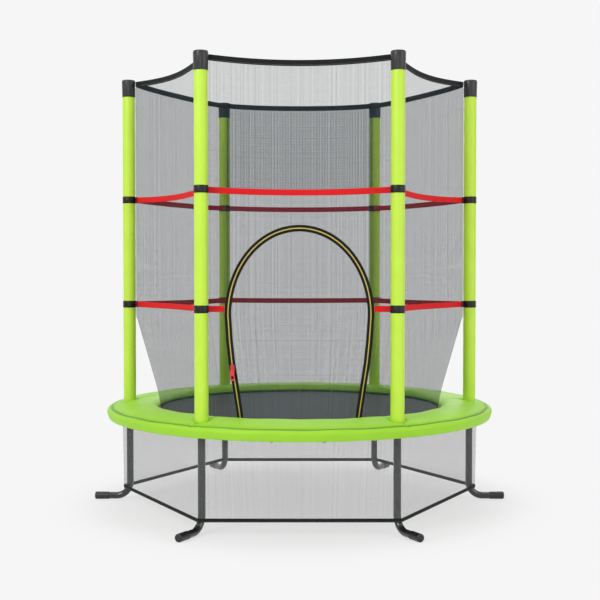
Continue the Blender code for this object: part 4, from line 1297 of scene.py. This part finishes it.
@dataclass
class NetEnclosure:
    """The six net sides, sewn edge to edge, and the door in the front one."""

    shapes: Dict[Side, NetShape]
    doorway: Doorway
    band_heights: Tuple[float, ...]
    under_tape: float = 0.006
    door_sill_z: float = 0.3622
    fold_z: float = 0.440
    ripple: float = 0.0011
    ripple_height: float = 0.09
    seam_reach: float = 0.0042
    seam_low: float = 0.66
    seam_high: float = 1.519
    seam_gap: float = 0.0002
    fine_below: float = 0.3625

    @property
    def shape(self) -> NetShape:
        """The front side's shape; its heights hold for all six."""
        return self.shapes[Side.FRONT]

    def cloth(self, x: Array, z: Array, side: Side) -> Array:
        """The net's points, with small gathers near its foot: a sine of x, gone 90 mm up."""
        points = self.shapes[side].place(x, z)
        height = z - self.shape.foot_z
        fade = np.clip(1.0 - height / self.ripple_height, 0.0, 1.0) ** 2
        points[..., 0] += self.ripple * fade * np.sin(x * 260.0) * np.clip(height / 0.01, 0, 1)
        return turn_z(points, side.angle)

    def seam_edges(self, side: Side) -> List[Patch]:
        """The side's two sewn edges: narrow strips that stand out towards the posts.

        Their width eases to nothing below the knee, under the hem and round each band.
        Those of two sides stand 0.4 mm apart.
        """
        z = np.linspace(self.seam_low, self.seam_high, 300)
        width = smooth_step((z - self.seam_low) / 0.02) * smooth_step((self.seam_high - z) / 0.004)
        for height in self.band_heights:
            width = width * smooth_step((np.abs(z - height) - 0.0125) / 0.003)
        edge, rows = np.stack([0 * z, self.seam_reach * width]) + self.shape.half, np.stack([z, z])
        strips = []
        for sign in (-1.0, 1.0):
            points = self.cloth(sign * edge, rows, side)
            sideways = side.angle + sign * SECTOR / 2 + QUARTER
            points[1] -= sign * self.seam_gap * around_z(1.0, sideways, 0.0)
            strips.append(grid(points, cloth=np.stack([sign * edge, rows], -1)))
        return strips

    def sheet(
        self, name: str, x: Array, z: Array, side: Side, edges: List[Patch]
    ) -> bpy.types.Object:
        """One declared sheet over a grid of flat places, with the edges that are sewn on."""
        points = self.cloth(x, z, side)
        finish = BACK_NET if side is Side.BACK else GREY_NET
        patches = [grid(points, cloth=np.stack([x, z], -1)), *edges]
        made = piece(name, together(patches), finish, solid=False)
        declare_sheet(made, points)
        return made

    def plain_side(self, side: Side) -> bpy.types.Object:
        """A whole side from post to post and from mat to hem."""
        foot = np.linspace(self.shape.foot_z + GAP, self.fine_below, 6)
        body = np.linspace(self.fine_below, self.shape.hem_z, 120)[1:]
        columns = np.linspace(-self.shape.half, self.shape.half, 49)
        x, z = np.meshgrid(columns, np.concatenate([foot, body]), indexing="ij")
        rests_on, edges = ["jump_mat", "top_hem"], self.seam_edges(side)
        return self.sheet(f"net_skin_{side.label}", x, z, side, edges)

    def front_side(self) -> bpy.types.Object:
        """The side round the doorway: straight lines from the zip out to the side's edge.

        Each point of the doorway's outline looks outwards to its own point on the
        panel's edge: the same height on the flanks, the same share along the top.
        """
        sill_z, arch_z = self.door_sill_z, self.doorway.arch_z
        half, top = self.shape.half, self.shape.hem_z
        hole = self.doorway.beside(self.under_tape, 60)
        hole = hole[hole[:, 1] >= self.doorway.foot_z]
        hole[0, 1] = hole[-1, 1] = sill_z
        hole_x, hole_z = hole.T
        corner = math.radians(50.0)
        turn = np.arctan2(hole_z - arch_z, hole_x)
        flank_top = sill_z + 0.40 * (top - sill_z)
        height = np.clip((hole_z - sill_z) / (arch_z - sill_z), 0, 1)
        lift = np.clip(np.where(hole_x < 0, math.pi - turn, turn) / corner, 0, 1)
        span = np.clip((turn - corner) / (math.pi - 2 * corner), 0, 1)
        above = hole_z > arch_z
        flank = sill_z + height * (flank_top - sill_z)
        edge_z = np.where(above, flank_top + lift * (top - flank_top), flank)
        edge_x = np.where(above, half - 2 * half * span, half * np.sign(hole_x))
        share = np.linspace(0.0, 1.0, 25)[None, :, None]
        places = hole[:, None] * (1 - share) + np.stack([edge_x, edge_z], -1)[:, None] * share
        flank_points = self.cloth(places[..., 0], places[..., 1], Side.FRONT)
        rows = np.linspace(self.shape.foot_z + GAP, sill_z, 6)
        x, z = np.meshgrid(np.linspace(-half, half, 97), rows, indexing="ij")
        sill_points = self.cloth(x, z, Side.FRONT)
        sill = grid(sill_points, cloth=np.stack([x, z], -1))
        patches = [grid(flank_points, cloth=places), sill, *self.seam_edges(Side.FRONT)]
        made = piece("net_skin_front", together(patches), GREY_NET, solid=False)
        area = flat_area(flank_points) + flat_area(sill_points)
        width = float(run_length(self.cloth(x, 0 * z + top, Side.FRONT))[-1].max())
        length = float(run_length(self.cloth(0 * x, z, Side.FRONT), 1)[0, -1]) + top - sill_z
        return made

    def door(self) -> bpy.types.Object:
        """The flap inside the zip: rows across the doorway, as wide as its outline there."""
        outline = self.doorway.beside(-self.under_tape, 60)
        outline = outline[len(outline) // 2:]
        outline[-1, 1] = self.door_sill_z
        x = np.linspace(-1.0, 1.0, 61)[:, None] * outline[None, ::-1, 0]
        z = np.broadcast_to(outline[None, ::-1, 1], x.shape)
        return self.sheet("door_skin", x, z, Side.FRONT, [])

    def build(self) -> None:
        """Make the sheets and the door, and hide the nodes that they stand for."""
        for side in Side:
            made = self.front_side() if side is Side.FRONT else self.plain_side(side)
            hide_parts(f"net_panel_{side.label}")
            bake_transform(made)
        door = self.door()
        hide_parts("door_panel")
        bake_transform(door)


def round_path(shapes: Dict[Side, SideShape], z: float, count: int) -> Array:
    """A level line of the cloth round all six sides."""
    lines = []
    for side, shape in shapes.items():
        x = shape.half * (2.0 * np.arange(count) / count - 1.0)
        lines.append(turn_z(shape.place(x, z), side.angle))
    return np.concatenate(lines)


def level_frames(path: Array, closed: bool) -> Tuple[Array, Array]:
    """(outward, up) directions along a level path that goes round anticlockwise.

    Outward is the horizontal tangent x up.
    """
    tangent = path_tangents(path, closed)
    tangent[:, 2] = 0.0
    up = fixed(UP, path)
    return np.cross(unit(tangent), up), up


@dataclass
class Hems:
    """The black tape along the net's top and the narrow one along the skirt's foot."""

    net: Dict[Side, NetShape]
    skirt: SkirtShape
    net_size: Tuple[float, float] = (0.020, 0.0034)
    skirt_size: Tuple[float, float] = (0.0127, 0.002)

    def hem(self, word: str, path: Array, height: float, thick: float) -> None:
        """A folded tape, fatter along its top where a cord runs in it, with a row of stitches."""
        out, up = level_frames(path, True)
        outline = slab(thick, height, thick * 0.45)
        outline[:, 0] *= 1.0 + 0.25 * smooth_step((outline[:, 1] / height + 0.1) * 2)
        made = piece(f"{word}_tape", carried(outline, path, out, up, closed=True), BLACK_TAPE)
        settle(made, "frame", [word])
        loop, outwards = (np.vstack([values, values[:1]]) for values in (path, out))
        row = loop + outwards * (thick / 2) - np.array([0.0, 0.0, height * 0.32])
        sewn = piece(f"{word}_tape_stitches", HEM_STITCH.row(row, outwards), GREY_THREAD)
        settle(sewn, "frame")

    def build(self) -> None:
        """Make both hems."""
        top = round_path(self.net, self.net[Side.FRONT].hem_z, 24)
        self.hem("top_hem", top, *self.net_size)
        low = round_path({side: self.skirt for side in Side}, self.skirt.hem_z, 12)
        self.hem("skirt_hem", low, *self.skirt_size)


@dataclass
class Bands:
    """Two red webbing bands outside the net and the elastic loops that hold them to the posts."""

    net: Dict[Side, NetShape]
    post: Post
    doorway: Doorway
    upper_z: float = 1.106
    lower_z: float = 0.723
    height: float = 0.020
    thick: float = 0.0015
    sewn_share: float = 0.4
    net_thick: float = 0.0016
    loop_height: float = 0.0245
    loop_thick: float = 0.0012
    wrap_reach: float = 0.005
    back_wrap_reach: float = 0.010
    door_clear: float = 0.0113
    steps: int = 24

    def loops(self, z: float) -> Patch:
        """Six flat rings round the sleeves."""
        radius = self.post.sleeve_radius + GAP + self.loop_thick / 2
        outline = slab(self.loop_thick, self.loop_height, 0.0009) + [radius, z]
        return turned(outline, 48).moved((self.post.radius, 0.0, 0.0)).repeated(6)

    def wraps(self, z: float) -> Patch:
        """Where each loop is sewn round the band: a short sleeve over it at the net's corner.

        Its path is the net's level line, up to half a wrap to each side of the corner.
        """
        inner, outer = 0.0004, self.net_thick / 2 + GAP + self.thick + 0.0008
        outline = slab(outer - inner, self.loop_height, 0.0006) + [(outer + inner) / 2, 0.0]
        made = []
        for corner in Corner:
            at_back = corner in (Corner.BACK_LEFT, Corner.BACK_RIGHT)
            reach = np.linspace(0.0, self.back_wrap_reach if at_back else self.wrap_reach, 5)
            before, after = Side((corner.value - 1) % 6), Side(corner.value)
            ends = (
                (before, self.net[before].half - reach[:0:-1]),
                (after, reach - self.net[after].half),
            )
            path = [turn_z(self.net[side].place(x, z), side.angle) for side, x in ends]
            path = np.concatenate(path)
            made.append(carried(outline, path, *level_frames(path, False)))
        return together(made)

    def band(self, z: float, broken: bool) -> Tuple[Array, bool]:
        """The band's path and whether it is closed; the broken one stops at the zip."""
        whole = round_path(self.net, z, self.steps)
        if not broken:
            return whole, True
        edge, front = self.doorway.half + self.door_clear, self.net[Side.FRONT]
        ends = (np.linspace(edge, front.half, 8)[:-1], np.linspace(-front.half, -edge, 8))
        right, left = (turn_z(front.place(x, z), Side.FRONT.angle) for x in ends)
        sides = whole.reshape(6, self.steps, 3)
        rest = [sides[(Side.FRONT.value + k) % 6] for k in range(1, 6)]
        return np.concatenate([right, *rest, left]), False

    def build(self) -> None:
        """Make each band, its loops and its stitches."""
        for word, z in (("upper", self.upper_z), ("lower", self.lower_z)):
            path, closed = self.band(z, word == "lower")
            out, up = level_frames(path, closed)
            path = path + out * (self.net_thick / 2 + GAP + self.thick / 2)
            outline = slab(self.thick, self.height, 0.0007)
            made = piece(f"{word}_webbing", carried(outline, path, out, up, closed), RED_WEBBING)
            settle(made, "frame", [f"{word}_band"])
            made = piece(f"{word}_loops", together([self.loops(z), self.wraps(z)]), BLACK_ELASTIC)
            settle(made, "frame")
            if closed:
                path, out = (np.vstack([values, values[:1]]) for values in (path, out))
            face = path + out * (self.thick / 2)
            offsets = (np.array([0.0, 0.0, s * self.height * self.sewn_share]) for s in (-1, 1))
            rows = together([BAND_STITCH.row(face + offset, out) for offset in offsets])
            settle(piece(f"{word}_band_stitches", rows, RED_THREAD), "frame")


# ---- zip -------------------------------------------------------------------------------


@dataclass
class Zip:
    """The doorway's zip: two tapes, two rows of teeth, a slider and its pull.

    The outer tape stays on the net's side and rides on the frame; the inner one is left where it is
    made.
    """

    net: NetShape
    doorway: Doorway
    tape_half: float = 0.0108
    tape_thick: float = 0.0014
    ridge: float = 0.0045
    ridge_width: float = 0.0007
    tooth_pitch: float = 0.0034
    tooth_reach: float = 0.0019
    tooth_foot: float = 0.0005
    tooth_rings: Tuple[Triple, ...] = ((1.0, 0.9, 0.0020), (0.3, 0.6, 0.0025), (-0.35, 1.0, 0.0023))
    fold_z: float = 0.440
    sill_z: float = 0.3622

    def strip(self, line: Array) -> Tuple[Array, Array, Array]:
        """(centre, across, out) in space for a line of flat places.

        Across is along the sheet, away from the doorway, and out is the net's normal.
        """
        centre = self.net.place(line[:, 0], line[:, 1])
        out = self.net.outward(line[:, 0], line[:, 1])
        along = unit(np.gradient(centre, axis=0))
        across = unit(np.cross(out, along))
        axes = (centre, across, np.cross(along, across))
        return tuple(turn_z(values, Side.FRONT.angle) for values in axes)

    def tape(self, inner: bool) -> Patch:
        """Half of the tape: a thin strip from the teeth outwards, with a corded ridge."""
        centre, across, out = self.strip(self.doorway.line())
        outline = slab(self.tape_half - 0.0004, self.tape_thick, 0.0005)
        from_ridge = (np.abs(outline[:, 0]) - self.ridge) / self.ridge_width
        outline[:, 1] *= 1.0 + 0.5 * np.exp(-(from_ridge**2))
        outline[:, 0] += self.tape_half / 2 + 0.0002
        outline[:, 0] *= -1.0 if inner else 1.0
        return carried(outline, centre, across, -out)

    def teeth(self, inner: bool) -> Patch:
        """One row of teeth: a small rounded block every pitch, in step with the other row.

        Each ring of a tooth has its reach and its width as shares, and its height.
        """
        strip = self.strip(self.doorway.line(400))
        travelled = run_length(strip[0])
        start = self.tooth_pitch * (0.25 if inner else 0.75)
        spots = np.arange(start, travelled[-1] - self.tooth_pitch, self.tooth_pitch)
        core, side, lift = (read_off(values, travelled, spots) for values in strip)
        side, lift = unit(side), unit(lift)
        step = unit(np.cross(side, lift))
        root = self.tooth_reach * (-1.0 if inner else 1.0)
        half, foot = self.tooth_pitch * 0.45, self.tooth_foot
        corners = []
        for reach, width, head in self.tooth_rings:
            for s, h in ((-1, foot), (1, foot), (0.7, head), (-0.7, head)):
                corners.append(core + side * (root * reach) + step * (s * half * width) + lift * h)
        return blocks(corners)

    def build(self) -> None:
        """Make both halves, and give the slider and the pull their enamel."""
        for inner, word in ((False, "net"), (True, "door")):
            tape = piece(f"zip_half_{word}", self.tape(inner), ZIP_TAPE)
            teeth = piece(f"zip_teeth_{word}", self.teeth(inner), ZIP_NYLON, sharp_degrees=30.0)
            for made in (tape, teeth):
                if inner:
                    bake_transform(made)
                else:
                    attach(made, "frame")
            if not inner:
                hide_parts("zip_tape")
        for node in ("zip_slider", "zip_pull"):
            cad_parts[node].data.materials[0] = RED_ENAMEL.material()


# ---- pad, mat and cord -----------------------------------------------------------------


@dataclass
class SpringPad:
    """The padded ring over the rail, sewn from six sections."""

    post: Post
    under: float = 0.3503
    seam_radius: float = 0.683
    seam_depth: float = 0.003
    seam_width: float = 0.006
    pucker: float = 0.0008
    swell: float = 0.0006
    ridge_depth: float = 0.0030
    ridge_width: float = 0.0022
    seat_z: float = 0.3603
    seat_slope: float = 0.016
    hole_radius: float = 0.0135
    hole_ends: Tuple[float, float] = (0.33, 0.38)
    sewn: Tuple[Tuple[float, float], ...] = ((0.6755, 0.35985), (0.6895, 0.3546))
    angles: int = 900

    def section(self) -> Array:
        """The closed (radius, height) section, as a curve through its main points."""
        under = self.under
        foot = [(0.5225, under), (0.5217, 0.3462), (0.5198, 0.3452), (0.5182, 0.3466)]
        crown = [(0.5190, 0.3515), (0.5270, 0.3600), (0.5480, 0.3705), (0.5950, 0.3725)]
        slope = [(0.6500, 0.3655), (0.6770, 0.3590), (0.6830, 0.3555), (0.6960, 0.3525)]
        valance = [(0.7015, 0.3430), (0.6985, 0.3300), (0.6950, 0.3205), (0.6915, 0.3205)]
        back = [(0.6935, 0.3300), (0.6925, 0.3420), (0.6870, under), (0.6300, under)]
        outline = [*foot, *crown, *slope, *valance, *back, (0.5700, under)]
        return spline(np.array(outline), 5, True)

    def surface(self) -> Patch:
        """The section carried round, with its seams, seats and soft swelling.

        Radial seams pull the top down by a Gaussian of the distance to them, each post
        presses a flat seat, and a sum of slow sine waves swells the top by up to 1 mm.
        """
        turn = math.tau * np.arange(self.angles)[:, None] / self.angles
        radius, height = self.section().T
        turn, radius, height = np.broadcast_arrays(turn, radius, height)
        top = smooth_step((height - self.under - 0.0005) / 0.003) * (radius < 0.7)
        from_seam = (turn + SECTOR / 2) % SECTOR - SECTOR / 2
        gap = np.abs(from_seam) * radius
        dip = self.seam_depth * np.exp(-((gap / self.seam_width) ** 2))
        pucker = self.pucker * np.sin(radius * 420.0)
        pucker = pucker * np.exp(-gap / 0.02) * (1 - np.exp(-gap / 0.004))
        swell = np.sin(turn * 11 + 1) * np.sin(radius * 60) + np.sin(turn * 23 + radius * 40)
        ridge = np.exp(-(((radius - self.seam_radius - 0.001) / self.ridge_width) ** 2))
        rise = pucker + self.swell * swell - dip - self.ridge_depth * ridge
        height = height + top * rise
        beside_post = around_z(radius, from_seam, 0.0) - [self.post.radius, 0.0, 0.0]
        reach = np.linalg.norm(beside_post, axis=-1)
        seat = 1 - smooth_step((reach - self.post.sleeve_radius) / self.seat_slope)
        pressed = height * (1 - seat) + (self.seat_z - GAP) * seat
        height = np.where(height > self.seat_z, pressed, height)
        return grid(around_z(radius, turn, height), (True, True))

    def build(self) -> None:
        """Make the pad with its pole holes, and the stitches to both sides of its outer seam."""
        pad = piece("pad_cover", self.surface(), GREEN_VINYL, sharp_degrees=60.0)
        (low, high), radius = self.hole_ends, self.hole_radius
        hole = turned([(0.0, low), (radius, low), (radius, high), (0.0, high)], 24)
        holes = hole.moved((self.post.radius, 0.0, 0.0)).repeated(6)
        cut(pad, "pole_holes", holes, GREEN_VINYL)
        settle(pad, "frame", ["spring_pad"])
        rows = PAD_STITCH.circles(self.sewn, 1200)
        settle(piece("pad_stitches", rows, GREEN_THREAD), "frame")


@dataclass
class JumpMat:
    """The mat, its doubled hem, its eyelets and the rows of stitches that hold the net."""

    top: float = 0.343
    radius: float = 0.537
    hem_radius: float = 0.510
    thick: float = 0.002
    hem_thick: float = 0.0035
    eyelet_ring: float = 0.527
    eyelet_radius: float = 0.0055
    turns: int = 24
    sag: float = 0.002
    sewn_radii: Tuple[float, ...] = (0.5035, 0.5125, 0.5185)

    def mat(self) -> Patch:
        """A turned disc with a thicker rim; its middle hangs down by sag * (1 - (r / hem)^2)."""
        inner = np.linspace(0.0, self.hem_radius, 26)
        upper = np.stack([inner, self.top - self.sag * (1 - (inner / self.hem_radius) ** 2)], -1)
        half = self.hem_thick / 2
        turn = np.linspace(QUARTER, -QUARTER, 7)
        rim = sweep((self.radius - half, self.top - half), (half, 0.0), (0.0, half), turn)
        step = [self.hem_radius, self.top - self.hem_thick]
        return turned(np.vstack([upper, rim, step, upper[::-1] - [0.0, self.thick]]), 144)

    def build(self) -> None:
        """Make the mat with its holes, the grommets and the stitches."""
        made = piece("mat_cloth", self.mat(), GREY_MAT)
        radius, reach = self.eyelet_radius, 0.01
        hole = turned([(0.0, -reach), (radius, -reach), (radius, reach), (0.0, reach)], 20)
        holes = hole.moved((self.eyelet_ring, 0.0, self.top)).repeated(self.turns)
        cut(made, "eyelet_holes", holes, GREY_MAT)
        settle(made, "mat", ["jump_mat"])
        flange = slab(0.0034, self.hem_thick + 0.0012, 0.0006) + [radius + 0.0009, 0.0]
        flange[:, 0] = np.maximum(flange[:, 0], radius - 0.0004)
        grommet = turned(flange, 24).moved((self.eyelet_ring, 0.0, self.top - self.hem_thick / 2))
        settle(piece("mat_grommets", grommet.repeated(self.turns), ZINC_STEEL), "mat")
        rows = MAT_STITCH.circles([(sewn, self.top) for sewn in self.sewn_radii], 900)
        settle(piece("mat_stitches", rows, GREY_THREAD), "mat")


@dataclass
class ElasticCord:
    """The laced cord, a piece for each turn."""

    mat: JumpMat
    steel: SteelFrame
    radius: float = 0.003
    wrap_radius: float = 0.0185
    over_mat: float = 0.0005
    under_mat: float = 0.0025
    bends: Tuple[float, ...] = (-90.0, -30.0, 30.0, 90.0)
    rail_end: float = 0.610
    mat_end: float = 0.545
    samples: int = 6

    def rail_radius(self, angle: Array) -> Array:
        """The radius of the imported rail's middle line, which is straight between its steps."""
        half_step = SECTOR / self.steel.rail_steps / 2
        chord = self.steel.post.radius * math.cos(half_step)
        return chord / np.cos(angle % (2 * half_step) - half_step)

    def route(self) -> Array:
        """The closed route: down through each eyelet, then up round the outside of the rail."""
        pitch = math.tau / self.mat.turns
        eyelet = pitch * np.arange(self.mat.turns)
        over = self.mat.top + self.radius + self.over_mat
        under = self.mat.top - self.mat.hem_thick - self.radius - self.under_mat
        points = [around_z(self.mat.eyelet_ring, eyelet, z) for z in (over, under)]
        for step, bend in enumerate(np.radians(self.bends)):
            angle = eyelet + pitch * (0.450 + 0.033 * step)
            radius = self.rail_radius(angle) + self.wrap_radius * math.cos(bend)
            height = self.steel.rail_height + self.wrap_radius * math.sin(bend)
            points.append(around_z(radius, angle, height))
        return np.stack(points, axis=1).reshape(-1, 3)

    def build(self) -> None:
        """Make one tube for each turn, from the outside of the rail round to it again."""
        route = spline(self.route(), self.samples, True)
        count = 6 * self.samples
        log.info("elastic cord: %.2f m", run_length(np.vstack([route, route[:1]]))[-1])
        tangents = path_tangents(route, True)
        for turn in range(self.mat.turns):
            index = (np.arange(count + 1) + turn * count - 2 * self.samples) % len(route)
            path, tangent = route[index], tangents[index]
            angle = math.tau * turn / self.mat.turns
            across = unit(np.cross(tangent, around_z(1.0, angle + QUARTER, 0.0)))
            profile = ring(self.radius, 10)
            cord = carried(profile, path, across, np.cross(across, tangent))
            made = settle(
                piece(f"cord_turn_{turn + 1:02d}", cord, WHITE_BRAID), "", ["elastic_cord"]
            )
            radii = (self.rail_end, self.mat_end)
            start, end = (tuple(around_z(radius, angle, self.mat.top)) for radius in radii)
            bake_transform(made)


@dataclass
class Skirt:
    """The pale net round the legs."""

    shape: SkirtShape

    def build(self) -> None:
        """One declared sheet for each side, from its hem up behind the pad's valance."""
        columns = np.linspace(-self.shape.half, self.shape.half, 41)
        rows = np.linspace(self.shape.hem_z, self.shape.top_z - GAP, 31)
        x, z = np.meshgrid(columns, rows, indexing="ij")
        for side in Side:
            points = turn_z(self.shape.place(x, z), side.angle)
            cloth = grid(points, cloth=np.stack([x, z], -1))
            made = piece(f"skirt_skin_{side.label}", cloth, PALE_NET, solid=False)
            settle(made, "frame", [f"skirt_panel_{side.label}"])
            declare_sheet(made, points)


# ---- studio ----------------------------------------------------------------------------


LAMP_AIM = (0.0, 0.0, 0.75)


@dataclass(frozen=True)
class Lamp:
    """A soft rectangular lamp that looks at the middle of the object."""

    name: str
    place: Triple
    size: Tuple[float, float]
    watts: float

    def build(self) -> None:
        """Hang the lamp."""
        data = bpy.data.lights.new(self.name, "AREA")
        data.shape = "RECTANGLE"
        data.size, data.size_y = self.size
        data.energy = self.watts
        lamp = linked(self.name, data)
        lamp.location = self.place
        lamp.visible_camera = False
        lamp.rotation_mode = "QUATERNION"
        aim = Vector(LAMP_AIM) - Vector(self.place)
        lamp.rotation_quaternion = aim.to_track_quat("-Z", "Y")


LAMPS = (
    Lamp("key", (-2.6, -3.2, 2.9), (1.6, 1.6), 66.0),
    Lamp("fill", (3.2, -2.4, 1.6), (2.0, 2.0), 26.0),
    Lamp("top", (0.0, 0.3, 4.2), (3.0, 3.0), 60.0),
    Lamp("back", (0.4, 4.0, 2.4), (2.4, 1.6), 30.0),
    Lamp("strip", (-0.4, -4.6, 1.2), (0.3, 2.3), 14.0),
)


@dataclass
class Studio:
    """Camera, floor, backdrop and lamps."""

    focal_pixels: float = 1091.5
    eye: Triple = (0.0017, -4.032, 0.845)
    pitch_down: float = 1.521
    ambient: float = 0.55

    def camera(self) -> None:
        """The photograph's camera; a sensor 36 mm wide stands for its 600 pixels."""
        data = bpy.data.cameras.new("photo_camera")
        data.sensor_width = 36.0
        data.lens = self.focal_pixels * data.sensor_width / PHOTO_PIXELS
        camera = linked("photo_camera", data)
        camera.location = self.eye
        camera.rotation_euler = (math.radians(90.0 - self.pitch_down), 0.0, 0.0)
        bpy.context.scene.camera = camera

    def world(self) -> None:
        """A pale backdrop for what is seen, and a softer white light for the rest."""
        world = bpy.data.worlds.new("studio")
        graph = Graph(world)
        light, shown = (
            graph.node("ShaderNodeBackground", inputs={"Color": colour, "Strength": strength})
            for colour, strength in (((1.0, 1.0, 1.0), self.ambient), (BACKDROP, 1.0))
        )
        mix = graph.mixed(graph.seen(), light.outputs[0], shown.outputs[0])
        graph.node("ShaderNodeOutputWorld", inputs={"Surface": mix})
        bpy.context.scene.world = world

    def floor(self) -> None:
        """A wide disc, finer near its middle."""
        angle = math.tau * np.arange(96)[::-1] / 96
        radius = np.array([0.0, 0.5, 1.0, 2.0, 4.0, 8.0, 30.0])[:, None]
        disc = grid(around_z(radius, angle, 0.0), (False, True))
        piece("floor", disc, FLOOR_PAINT)

    def build(self) -> None:
        """Set the whole studio up."""
        self.camera()
        self.world()
        self.floor()
        for lamp in LAMPS:
            lamp.build()
        bpy.context.scene.view_settings.view_transform = "Standard"


def main() -> None:
    """Build the studio and then each sub-assembly."""
    logging.basicConfig(level=logging.INFO, format="%(name)s: %(message)s")
    Studio().build()
    post = Post()
    skirt = SkirtShape()
    doorway = Doorway()
    steel = SteelFrame(post)
    mat = JumpMat()
    steel.build()
    FoamPosts(post).build()
    # The tapes keep to the surface that the slider is set on, half a millimetre further in.
    Zip(NetShape(corner_radius=0.600), doorway).build()
    bands = Bands(NET_SHAPES, post, doorway)
    NetEnclosure(NET_SHAPES, doorway, (bands.upper_z, bands.lower_z)).build()
    Hems(NET_SHAPES, skirt).build()
    bands.build()
    SpringPad(post).build()
    mat.build()
    ElasticCord(mat, steel).build()
    Skirt(skirt).build()


if __name__ == "__main__":
    main()
